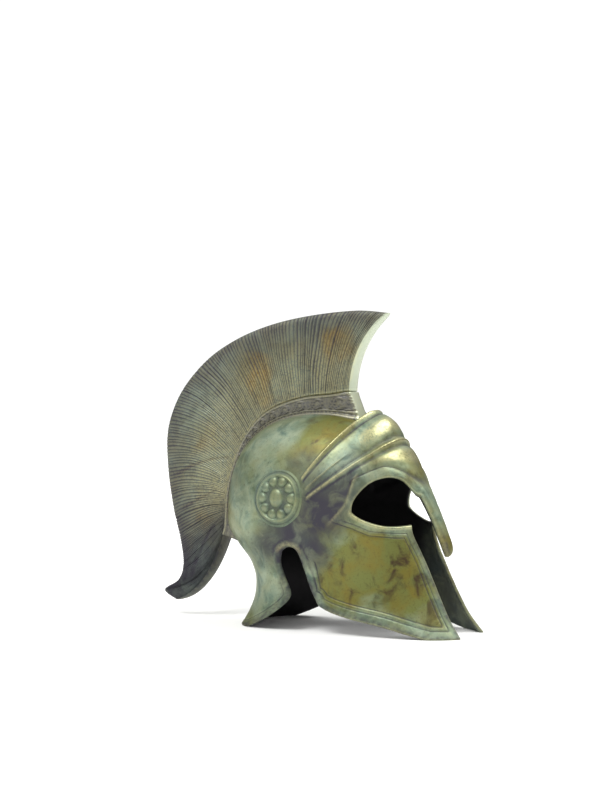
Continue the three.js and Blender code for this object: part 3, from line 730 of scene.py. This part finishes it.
# A closed body from sections that run near side up, over the top, far side down and under: the rings
# are joined along the body, and each end is filled with a swelling face.
def bodyFromRings(rings, side, over, swell):
    count = rings.shape[0]
    places = [rings.reshape(-1, 3)]
    faces = [gridQuads(count, rings.shape[1], closed=True)]
    share = np.linspace(0, 1, over + 2)
    for end, sign, height in ((0, -1, swell[0]), (count - 1, 1, swell[1])):
        ring = rings[end]
        near, top = ring[:side], ring[side:side + over]
        far, under = ring[side + over:2 * side + over][::-1], ring[2 * side + over:][::-1]
        cap = near[:, None] * (1 - share[None, :, None]) + far[:, None] * share[None, :, None]
        outward = (rings[end] - rings[end - sign]).mean(0) * [1, 0, 1]
        outward /= np.linalg.norm(outward)
        level = np.sin(np.linspace(0, np.pi, side)) ** 0.35
        cap += outward * (height * level[:, None] * (1 - (2 * share[None, :] - 1) ** 4))[..., None]
        cap[-1, 1:-1] = top
        cap[0, 1:-1] = under
        faces.append(gridQuads(side, over + 2, sum(len(part) for part in places)))
        places.append(cap.reshape(-1, 3))
    return np.concatenate(places), faces


# The plume: both sides are grids over the strands and their length, pressed in by a groove between
# strands, which goes as the 2.2nd power of the distance from a strand's crown, and by the long locks.
def buildPlume():
    strands, samples = crest["strands"], crest["samples"]
    widths = random.uniform(0.7, 1.35, strands)
    edges = runningSum(widths) / widths.sum()
    grooveDepth = random.uniform(0.55, 1.0, strands + 1)
    grooveDepth[random.integers(0, strands, strands // 7)] = 1.75
    position = np.linspace(0, strands, strands * samples + 1)
    strand = np.minimum(position.astype(int), strands - 1)
    inside = position - strand
    u = edges[strand] * (1 - inside) + edges[strand + 1] * inside
    v = np.concatenate([np.linspace(0, 0.93, crest["along"] - 5), [0.955, 0.972, 0.985, 0.994, 1.0]])
    uu, vv = np.meshgrid(u, v, indexing="ij")
    # strands wander a little along their length
    wander = np.sin(uu * 61 + vv * 3.1) * 0.0012 + np.sin(uu * 173 - vv * 5.3) * 0.0008
    wander = wander + np.sin(uu * 29 - vv * 9.0) * 0.0007
    awayFromEnds = np.minimum(uu * 25, 1) * np.minimum((1 - uu) * 25, 1)
    uu = np.clip(uu + wander * np.sin(np.pi * np.clip(vv, 0, 1)) * awayFromEnds, 0, 1)
    flat = crestPoint(uu, vv)
    crown = 1 - np.abs(2 * inside - 1) ** 2.2
    hollow = np.where(inside < 0.5, grooveDepth[strand], grooveDepth[strand + 1])
    groove = (1 - crown) * hollow
    patchy = 1 + 0.35 * softNoise(np.stack([flat[..., 0], 0 * vv, flat[..., 1]], axis=-1), 17, 2)
    groove = groove[:, None] * patchy * ramp(0, 0.06, vv) * ramp(0, 0.008, uu)
    half = crest["half"] * np.interp(vv, *np.array(crest["taper"]).T)
    lockDepth = np.zeros(vv.shape)
    for line in crest["locks"]:
        apart, along = lineDistance(flat[..., 0], flat[..., 1], line)
        tapered = ramp(-0.02, 0.12, along) * ramp(1.02, 0.8, along)
        lockDepth = np.maximum(lockDepth, bump(apart / (0.9 + 1.5 * along)) * tapered)
    depth = crest["depth"] * groove * np.minimum(half / 3.5, 1) + 0.55 * lockDepth
    side = half - depth - 0.12 * ramp(0.01, 0, uu) * half
    sides, over = len(v), 3
    rings = np.zeros((len(u), 2 * sides + 2 * over, 3))
    rings[:, :sides] = np.stack([flat[..., 0], -side, flat[..., 1]], axis=-1)
    rings[:, sides + over:2 * sides + over] = np.stack([flat[..., 0], side, flat[..., 1]], axis=-1)[:, ::-1]
    share = np.linspace(0, 1, over + 2)[1:-1]
    tip, foot = flat[:, -1], flat[:, 0]
    notch = 0.35 * groove[:, -1]
    inwards = flat[:, -2] - flat[:, -1]
    inwards /= np.linalg.norm(inwards, axis=1, keepdims=True)
    for step, part in enumerate(share):
        edge = tip + inwards * notch[:, None]
        rings[:, sides + step] = np.stack([edge[:, 0], side[:, -1] * (2 * part - 1), edge[:, 1]], axis=-1)
        under = np.stack([foot[:, 0], side[:, 0] * (1 - 2 * part), foot[:, 1]], axis=-1)
        rings[:, 2 * sides + over + step] = under
    places, faces = bodyFromRings(rings, sides, over, (0.5, 1.2))
    # dark in the grooves, along the outer edge, at the root and towards the tail
    dark = np.clip(groove * 1.1 + lockDepth, 0, 1) + 0.45 * ramp(0.72, 0.95, vv)
    dark += 0.35 * ramp(0.12, 0.0, vv) * ramp(0.1, 0.2, uu) + 0.5 * ramp(0.5, 0.85, uu)
    dark = np.clip(dark, 0, 1)
    bright = np.clip(1 - groove * 1.6, 0, 1) * (0.16 + 0.34 * ramp(0.85, 0.3, vv)) * ramp(0.8, 0.6, uu)
    warmth = np.clip(cloudSum(crest["warmClouds"], flat[..., 0], flat[..., 1]), 0, 1)
    grimeAndShade, wearAndHighlight, warm = np.zeros((3, *rings.shape[:2]))
    for target, values in ((grimeAndShade, dark), (wearAndHighlight, bright), (warm, warmth)):
        target[:, :sides] = values
        target[:, sides + over:2 * sides + over] = values[:, ::-1]
        target[:, sides:sides + over] = values[:, -1:]
    extra = len(places) - rings.shape[0] * rings.shape[1]
    grimeAndShade = np.concatenate([grimeAndShade.ravel(), np.full(extra // 2, 0.05), np.full(extra - extra // 2, 0.75)])
    wearAndHighlight = np.concatenate([wearAndHighlight.ravel(), np.full(extra, 0.1)])
    warm = np.concatenate([warm.ravel(), np.zeros(extra)])
    pale = np.repeat(ramp(0.006, 0, u), rings.shape[1])
    pale = np.concatenate([pale, np.full(extra // 2, 1.0), np.zeros(extra - extra // 2)])
    return makePiece("plume_bronze_cast", toFrame(places), faces,
                     {"wearAndHighlight": wearAndHighlight, "grimeAndShade": grimeAndShade, "pale": pale, "warm": warm}, merge=2e-6)


plumePiece = buildPlume()
print("plume done")


# Holder: a curved base on the bowl with a running wave on both sides, in mm.
holder = {
    "half": 7.2, "topHalf": 6.4, "footHalf": 9.2, "rootDrop": 0.3, "frontDrop": 1.5, "waves": 16,
    "columnsPerWave": 13, "panelRows": 18, "lean": 0.26,
    # one running wave, forward and up from the middle of its curl, mm at full size
    "wave": [(-7.8, -3.2), (-5.6, -2.4), (-3.8, -0.6), (-2.4, 1.7), (-0.2, 3.0), (2.2, 2.4), (3.2, 0.3),
        (2.4, -1.8), (0.6, -2.6)],
}


# Frame on the holder's upper edge: root point, unit tangent and the normal out of the head.
def holderFrame(u):
    steps = (0, 1e-4, -1e-4)
    root, after, before = (curveThrough(crest["rows"], np.clip(u + step, 0, 1))[..., 0:2] for step in steps)
    along = after - before
    along /= np.linalg.norm(along, axis=-1, keepdims=True)
    out = np.stack([-along[..., 1], along[..., 0]], axis=-1)
    out *= np.sign((out * (root - [12, 70])).sum(-1, keepdims=True))
    return root, along, out


# Depth below the upper edge at which the holder meets the bowl or the brow, at a given half width.
def bowlDepth(u, half):
    root, _, out = holderFrame(u)
    start = np.stack([root[:, 0], 0 * u + half, root[:, 1]], axis=-1)
    inward = np.stack([-out[:, 0], 0 * u, -out[:, 1]], axis=-1)

    def outside(forward, side, up):
        apart, _ = lineDistance(forward, up, shell["ridges"]["upper"][0])
        inBrow = (browField(forward, side, up) < 0) & (apart < 1.2)
        return np.where((headField(forward, side, up) < 0) | inBrow, 1.0, -1.0)

    return reachOut(outside, start, inward, 26)


# The holder: sections along the crest's root line, each a ledge, a panel with the running wave, and a
# pitted border down to the bowl. The wave is a raised cosine round its drawn line, with a round boss.
def buildHolder():
    fine = np.linspace(0, 1, 1501)
    root = holderFrame(fine)[0]
    depthFine = smoothed(bowlDepth(fine, holder["half"]), 30)
    travelled = runningSum(np.hypot(*np.diff(root, axis=0).T))
    size = np.clip((depthFine - 2.6) / 9.0, 0.5, 1.1)        # waves shrink with the panel
    phase = runningSum(np.diff(travelled) / size[1:])
    phase = phase / phase[-1] * holder["waves"]
    place = np.linspace(0, holder["waves"], holder["waves"] * holder["columnsPerWave"] + 1)
    u = np.interp(place, phase, fine)
    root, along, out = holderFrame(u)
    deep = np.interp(u, fine, depthFine)
    deepWide = smoothed(bowlDepth(u, holder["footHalf"]), 3) + holder["frontDrop"] * ramp(0.05, 0, u)
    unit = np.interp(u, fine, travelled)
    scale = np.interp(u, fine, size)
    borderTall = np.clip(deep * 0.26, 1.8, 3.6)

    # section rows: half width and depth below the edge, and the dirt on them
    ledge = [(holder["topHalf"], 0.3, 0.1), (7.5, 0.3, 0.1), (7.8, 0.45, 0.1), (7.9, 0.8, 0),
        (7.85, 1.35, 0), (7.5, 1.75, 0.6)]
    rows = [(half + 0 * u, depth + 0 * u) for half, depth, _ in ledge]
    hollows = [dirt + 0 * u for _, _, dirt in ledge]
    panelTop, panelFoot = 2.05 + 0 * u, deep - borderTall
    middle = (panelTop + panelFoot) / 2
    for part in np.linspace(0, 1, holder["panelRows"]):
        depth = panelTop + (panelFoot - panelTop) * part
        local, boss = np.zeros((2, len(u)))
        for neighbour in (-1, 0, 1):
            centre = np.floor(place) + 0.42 + neighbour
            centreTravel = np.interp(np.interp(centre, phase, fine), fine, travelled)
            across = -(unit - centreTravel) / scale
            upward = (middle - depth) / scale
            apart, _ = lineDistance(across, upward, holder["wave"])
            local = np.maximum(local, bump(apart / 1.6) * (across > -7.6) * (across < 4.2))
            boss = np.maximum(boss, bump(np.hypot(across - 0.3, upward - 0.1) / 2.3))
        height = 1.25 * np.clip(local + 0.9 * boss, 0, 1.15)
        fadeEnds = ramp(0, 0.25, place) * ramp(holder["waves"], holder["waves"] - 0.25, place)
        rows.append((holder["half"] + height * fadeEnds, depth))
        edgeDark = bump((local - 0.35) / 0.35)
        hollows.append(np.clip(0.45 + 0.5 * edgeDark - 0.3 * boss, 0.1, 1))
    # lower border: a bead, a pitted channel and a foot that follows the bowl
    pits = 0.5 + 0.5 * np.cos(unit * 2 * np.pi / 2.6 + 0.7 * np.sin(unit * 0.9))
    down = deepWide - panelFoot
    border = [
        # half width, part of the way down, depth of the pits, dirt
        (7.35, 0.04, 0, 0.8), (7.85, 0.12, 0, 0.3), (8.05, 0.24, 0, 0.15), (7.85, 0.36, 0.25, 0.5),
        (7.75, 0.46, 0.55, 0.7), (7.85, 0.55, 0.55, 0.7), (8.35, 0.66, 0.2, 0.4), (8.8, 0.76, 0, 0.15),
        (9.1, 0.88, 0, 0.2), (9.2, 1.0, 0, 0.4), (9.2, 1.12, 0, 0.6)]
    for half, part, pit, dirt in border:
        rows.append((half - pit * pits, panelFoot + down * part))
        hollows.append(dirt * (0.35 + 0.65 * pits) if pit else dirt + 0 * u)
    sides, over = len(rows), 5
    rings = np.zeros((len(u), 2 * sides + 2 * over, 3))
    grimeAndShade = np.zeros(rings.shape[:2])
    # down the section; the front end leans forward on its way and is a little narrower
    down = -out - along * ramp(0.05, 0, u)[:, None] * holder["lean"]
    narrow = 1 - 0.16 * ramp(0.035, 0, u)
    for k in range(sides):
        half, depth = rows[sides - 1 - k]
        spot = root + down * depth[:, None]
        far = 2 * sides + over - 1 - k
        rings[:, k] = np.stack([spot[:, 0], -half * narrow, spot[:, 1]], axis=-1)
        rings[:, far] = np.stack([spot[:, 0], half * narrow, spot[:, 1]], axis=-1)
        grimeAndShade[:, k] = grimeAndShade[:, far] = hollows[sides - 1 - k] * ramp(0, 0.012, u)
    for step, part in enumerate(np.linspace(-1, 1, over + 2)[1:-1]):
        spot = root + down * holder["rootDrop"]
        aside = holder["topHalf"] * part * narrow
        rings[:, sides + step] = np.stack([spot[:, 0], aside, spot[:, 1]], axis=-1)
        depth = smoothed(bowlDepth(u, abs(holder["footHalf"] * part)) + 0.6, 3)
        spot = root + down * depth[:, None]
        aside = -holder["footHalf"] * part * narrow
        rings[:, 2 * sides + over + step] = np.stack([spot[:, 0], aside, spot[:, 1]], axis=-1)
    places, faces = bodyFromRings(rings, sides, over, (0.6, 0.5))
    extra = len(places) - grimeAndShade.size
    grimeAndShade = np.concatenate([grimeAndShade.ravel(), np.full(extra // 2, 0.0), np.full(extra - extra // 2, 0.5)])
    pale = np.zeros(len(places))
    pale[len(places) - extra:len(places) - extra + extra // 2] = 1        # the front end
    return makePiece("holder_bronze_cast", toFrame(places), faces,
                     {"wearAndHighlight": 0.35 * (1 - grimeAndShade), "grimeAndShade": grimeAndShade, "pale": pale}, merge=2e-6)


holderPiece = buildHolder()
print("holder done")


# Rosettes: a round boss over each ear, in mm.
rosette = {
    "radius": 17.2, "boss": 5.2, "petals": 10, "petalRadius": 10.1, "petalSize": 3.05,
    "around": 200, "out": 46,
}


# Height of the rosette over the bowl at a radius and angle: domed boss, a ring of raised petals,
# a rounded outer ring and a faint line round it.
def rosetteHeight(radius, angle):
    oval = radius * (1 + 0.09 * np.cos(2 * angle)) / rosette["boss"]
    boss = 2.4 * np.sqrt(np.clip(1 - oval ** 2, 0, 1))
    turn = 2 * np.pi / rosette["petals"]
    aside = ((angle + turn / 2) % turn - turn / 2) * rosette["petalRadius"]
    apart = np.hypot(aside, radius - rosette["petalRadius"])
    petal = 1.5 * np.sqrt(np.clip(1 - (apart / rosette["petalSize"]) ** 2, 0, 1))
    ring = 1.5 * bump((radius - 13.5) / 1.9)
    thin = 0.4 * bump((radius - 16.2) / 0.8)
    base = 0.45 * ramp(17.2, 15.5, radius)
    return base + np.maximum(np.maximum(boss, petal), np.maximum(ring, thin))


# A rosette: a round grid of radius and angle laid on the bowl, raised by its height along the bowl's
# normal in the middle, and closed by the same grid sunk a little into the bowl.
def buildRosette(name, mirror):
    forward, up = headForm["rosette"]
    back, _, half, widest, square = headPlan(np.array(up))
    side = half * (1 - ((widest - forward) / (widest - back)) ** square) ** (1 / square)
    centre = np.array([forward, side, up])
    steps = np.eye(3) * 0.5
    gradient = np.array([headField(*(centre + step)) - headField(*(centre - step)) for step in steps])
    axis = gradient / np.linalg.norm(gradient)
    across = np.cross([0, 0, 1.0], axis)
    across /= np.linalg.norm(across)
    upward = np.cross(axis, across)
    angle = np.linspace(0, 2 * np.pi, rosette["around"], endpoint=False)
    radius = np.concatenate([np.linspace(0, rosette["radius"], rosette["out"]), [rosette["radius"] + 0.15]])
    rr, aa = np.meshgrid(radius, angle, indexing="ij")
    flat = centre + across * (rr * np.cos(aa))[..., None] + upward * (rr * np.sin(aa))[..., None]
    start = flat - axis * 12
    bowl = start + axis * reachOut(headField, start, np.broadcast_to(axis, start.shape), 20)[..., None]
    height = rosetteHeight(rr, aa)
    height[-1] = -0.8
    front = bowl + axis * height[..., None]
    behind = bowl[::-1] - axis * 0.9
    places = np.concatenate([front, behind[1:]])
    dirt = np.clip(0.85 - height / 1.1, 0.05, 0.7) * ramp(17.5, 15, rr) + 0.12
    dirt[-1] = 0.3
    polishAndHighlight = ramp(1.1, 2.0, height) * 0.18
    grimeAndShade = np.concatenate([dirt, dirt[::-1][1:]])
    wearAndHighlight = np.concatenate([polishAndHighlight, 0 * polishAndHighlight[1:]])
    if mirror:
        places = places * [1, -1, 1]
    faces = [gridQuads(len(places), rosette["around"], closed=True)]
    masks = {"wearAndHighlight": wearAndHighlight.ravel(), "grimeAndShade": grimeAndShade.ravel()}
    return makePiece(name, toFrame(places.reshape(-1, 3)), faces, masks, merge=2e-6)


rosetteLeft = buildRosette("rosette_left_cast", False)
rosetteRight = buildRosette("rosette_right_cast", True)
print("rosettes done")


# sRGB hex to linear RGBA.
def colour(code):
    parts = [int(code[i:i + 2], 16) / 255 for i in (0, 2, 4)]
    return tuple(c / 12.92 if c <= 0.04045 else ((c + 0.055) / 1.055) ** 2.4 for c in parts) + (1,)


# Adds a node with its settings, and links or sets its inputs.
def addNode(tree, kind, inputs=None, **settings):
    node = tree.nodes.new(kind)
    for key, value in settings.items():
        setattr(node, key, value)
    for key, value in (inputs or {}).items():
        if isinstance(value, bpy.types.NodeSocket):
            tree.links.new(value, node.inputs[key])
        else:
            node.inputs[key].default_value = value
    return node


# Colours of the patina, with a near black painted shade for the inside and pale brass that is partly a
# painted highlight, and the real sizes of its clouds, specks and grain.
patina = {
    "verdigris": "929F88", "teal": "5E7B70", "olive": "686D36", "gold": "706728", "brown": "40321D",
    "dark": "393740", "brassAndHighlight": "CFC893", "pale": "B9C3AE", "paintedInsideShade": "1C1A1D", "metal": 0.5,
    "patchMm": 30, "goldMm": 17, "darkMm": 12, "speckMm": 1.3, "grainMm": 0.7, "dentMm": 5.5,
}


# Cast bronze under an applied green patina, waxed: soft cloudy greens over brown, dark in hollows where the
# colour gathers, rubbed back to pale yellow metal on the high places, which on the brow's ridges and swells
# is partly a painted highlight. Each colour is laid over the last by a factor made of a cloud, a place mask
# or both.
def bronzeMaterial(name, values):
    material = bpy.data.materials.new(name)
    material.use_nodes = True
    tree = material.node_tree
    tree.nodes.clear()
    place = addNode(tree, "ShaderNodeTexCoord").outputs["Object"]
    part = {}        # output sockets by name
    for title in ("wearAndHighlight", "grimeAndShade", "inside", "pale", "warm"):
        part[title] = addNode(tree, "ShaderNodeAttribute", attribute_name=title).outputs["Fac"]
    for title, detail, distortion, move in (
            ("patch", 4, 0.4, (0, 0, 0)), ("gold", 3, 0.6, (3.1, 1.7, 0.4)),
            ("dark", 5, 0.8, (1.3, 7.9, 2.2)),
            ("speck", 3, 0.0, (5.0, 2.0, 8.0)), ("grain", 3, 0.0, (0, 0, 0)), ("dent", 3, 0.0, (0, 0, 0))):
        spot = addNode(tree, "ShaderNodeMapping", {"Vector": place, "Location": move}).outputs[0]
        part[title] = addNode(tree, "ShaderNodeTexNoise", {
            "Vector": spot, "Scale": 1 / (values[title + "Mm"] * mm), "Detail": detail, "Roughness": 0.6,
            "Distortion": distortion}).outputs["Fac"]
    for title, cloud, low, high in (
            ("toTeal", "dark", 0.35, 0.7), ("patches", "patch", 0.35, 0.72), ("golden", "gold", 0.38, 0.68),
            ("spotted", "dark", 0.5, 0.72), ("specks", "speck", 0.52, 0.75),
            ("mottled", "dark", 0.25, 0.75), ("rubbedAndHighlight", "speck", 0.2, 0.6)):
        inputs = {"Value": part[cloud], "From Min": low, "From Max": high}
        part[title] = addNode(tree, "ShaderNodeMapRange", inputs,
            interpolation_type="SMOOTHSTEP").outputs[0]
    for title, operation, a, b in (
            ("patches", "MULTIPLY", "patches", 0.55), ("toOlive", "ADD", "patches", "warm"),
            ("goldPlace", "ADD", "warm", 0.12), ("toGold", "MULTIPLY", "golden", "goldPlace"),
            ("brownPlace", "ADD", "warm", 0.15), ("toBrown", "MULTIPLY", "spotted", "brownPlace"),
            ("toSpeck", "MULTIPLY", "specks", 0.4), ("mottled", "MULTIPLY", "mottled", 0.7),
            ("mottled", "ADD", 0.6, "mottled"), ("toDark", "MULTIPLY", "grimeAndShade", "mottled"),
            ("rubbedAndHighlight", "MULTIPLY", "wearAndHighlight", "rubbedAndHighlight"), ("toBrassAndHighlight", "MULTIPLY", "rubbedAndHighlight", 0.85),
            ("dull", "ADD", "grimeAndShade", 0.35), ("polishAndHighlight", "MULTIPLY", "wearAndHighlight", 0.6),
            ("dull", "SUBTRACT", "dull", "polishAndHighlight")):
        part[title] = addNode(tree, "ShaderNodeMath", {0: part.get(a, a), 1: part.get(b, b)},
                              operation=operation, use_clamp=True).outputs[0]
    # the last layer paints shade: the inner face is painted near black by the inside mask
    base = colour(values["verdigris"])
    for factor, layer in (
            ("toTeal", "teal"), ("toOlive", "olive"), ("toGold", "gold"), ("toBrown", "brown"),
            ("toSpeck", "brown"), ("pale", "pale"), ("toDark", "dark"), ("toBrassAndHighlight", "brassAndHighlight"),
            ("inside", "paintedInsideShade")):
        # inputs 0, 6 and 7 of a colour mix are its factor and two colours, output 2 its result
        base = addNode(tree, "ShaderNodeMix", {0: part[factor], 6: base, 7: colour(values[layer])},
            data_type="RGBA").outputs[2]
    rough = addNode(tree, "ShaderNodeMapRange",
        {"Value": part["dull"], "To Min": 0.3, "To Max": 0.62}).outputs[0]
    metal = addNode(tree, "ShaderNodeMapRange",
        {"Value": part["wearAndHighlight"], "To Min": values["metal"], "To Max": 0.9}).outputs[0]
    grain = addNode(tree, "ShaderNodeBump",
        {"Height": part["grain"], "Strength": 0.25, "Distance": 0.00008}).outputs[0]
    dents = addNode(tree, "ShaderNodeBump",
        {"Height": part["dent"], "Strength": 0.35, "Distance": 0.0005, "Normal": grain}).outputs[0]
    shader = addNode(tree, "ShaderNodeBsdfPrincipled",
        {"Base Color": base, "Roughness": rough, "Metallic": metal, "Normal": dents})
    addNode(tree, "ShaderNodeOutputMaterial", {"Surface": shader.outputs[0]})
    return material


shellBronze = bronzeMaterial("cast_bronze_green_patina", patina)
holderBronze = bronzeMaterial("cast_bronze_dark_patina",
    dict(patina, verdigris="66696C", teal="585C60", olive="545250", gold="5A5638"))
plumeBronze = bronzeMaterial("cast_bronze_brown_patina",
    dict(patina, verdigris="68756C", teal="4C5A56", olive="57523B", gold="806020"))
rosetteBronze = bronzeMaterial("cast_bronze_olive_patina", dict(patina, verdigris="808F74", olive="6C7545"))

for piece, node, slot, material in (
        (shellPiece, "helmet_shell", "shell_bronze", shellBronze),
        (holderPiece, "crest_holder", "holder_bronze", holderBronze),
        (plumePiece, "crest_plume", "plume_bronze", plumeBronze),
        (rosetteLeft, "rosette_left", "rosette_bronze", rosetteBronze),
        (rosetteRight, "rosette_right", "rosette_bronze", rosetteBronze)):
    piece.data.materials.append(material)
    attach(piece, "root")
    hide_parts(node)
print("materials done")

# Stage: a white floor and a white tent that is bright above and dim at the horizon.
studio = {
    "floor": "F4F4F2", "floorHalf": 6.0, "tentSide": 0.16, "tentTop": 1.0, "backdrop": 1.1,
    # name, direction that it comes from, strength, softness in degrees
    "suns": [("key_light", (0.35, -0.5, 0.85), 1.6, 36), ("top_light", (-0.5, 0.12, 0.86), 2.0, 24)],
}

floorMesh = bpy.data.meshes.new("floor")
half = studio["floorHalf"]
floorMesh.from_pydata([(-half, -half, 0), (half, -half, 0), (half, half, 0), (-half, half, 0)], [],
    [(0, 1, 2, 3)])
floor = bpy.data.objects.new("floor", floorMesh)
bpy.context.scene.collection.objects.link(floor)
floorPaper = bpy.data.materials.new("white_paper")
floorPaper.use_nodes = True
paperInputs = floorPaper.node_tree.nodes["Principled BSDF"].inputs
paperInputs["Base Color"].default_value = colour(studio["floor"])
paperInputs["Roughness"].default_value = 0.9
floorMesh.materials.append(floorPaper)

world = bpy.data.worlds.new("studio")
bpy.context.scene.world = world
world.use_nodes = True
worldTree = world.node_tree
worldTree.nodes.clear()
seen = addNode(worldTree, "ShaderNodeLightPath").outputs["Is Camera Ray"]
height = addNode(worldTree, "ShaderNodeSeparateXYZ",
    {0: addNode(worldTree, "ShaderNodeTexCoord").outputs["Generated"]}).outputs["Z"]
tent = addNode(worldTree, "ShaderNodeMapRange",
    {"Value": height, "From Min": 0.05, "From Max": 0.7, "To Min": studio["tentSide"],
        "To Max": studio["tentTop"]}, interpolation_type="SMOOTHSTEP").outputs[0]
strength = addNode(worldTree, "ShaderNodeMapRange",
    {"Value": seen, "To Min": tent, "To Max": studio["backdrop"]}).outputs[0]
sky = addNode(worldTree, "ShaderNodeBackground", {"Color": (1, 1, 1, 1), "Strength": strength})
addNode(worldTree, "ShaderNodeOutputWorld", {"Surface": sky.outputs[0]})

for name, direction, strength, angle in studio["suns"]:
    data = bpy.data.lights.new(name, "SUN")
    data.energy = strength
    data.angle = math.radians(angle)
    lamp = bpy.data.objects.new(name, data)
    lamp.rotation_euler = Vector(direction).to_track_quat("Z", "Y").to_euler()
    bpy.context.scene.collection.objects.link(lamp)

# Camera, in degrees and mm: seen from ahead of the side and just above level.
view = {"aside": 29.0, "above": 2.0, "distance": 950.0, "target": (20.0, 0.0, 100.0),
    "lens": 1557.4 * 36 / 800, "shift": (-0.03125, 0.077)}
aside, above = math.radians(view["aside"]), math.radians(view["above"])
target = Vector((0, (forwardShift - view["target"][0]) * mm, view["target"][2] * mm))
direction = Vector((-math.cos(above) * math.cos(aside), -math.cos(above) * math.sin(aside),
    math.sin(above)))
cameraData = bpy.data.cameras.new("camera")
cameraData.sensor_width = 36
cameraData.lens = view["lens"]
cameraData.shift_x, cameraData.shift_y = view["shift"]
camera = bpy.data.objects.new("camera", cameraData)
camera.location = target + direction * view["distance"] * mm
camera.rotation_euler = direction.to_track_quat("Z", "Y").to_euler()
bpy.context.scene.collection.objects.link(camera)
bpy.context.scene.camera = camera
bpy.context.scene.view_settings.view_transform = "Standard"
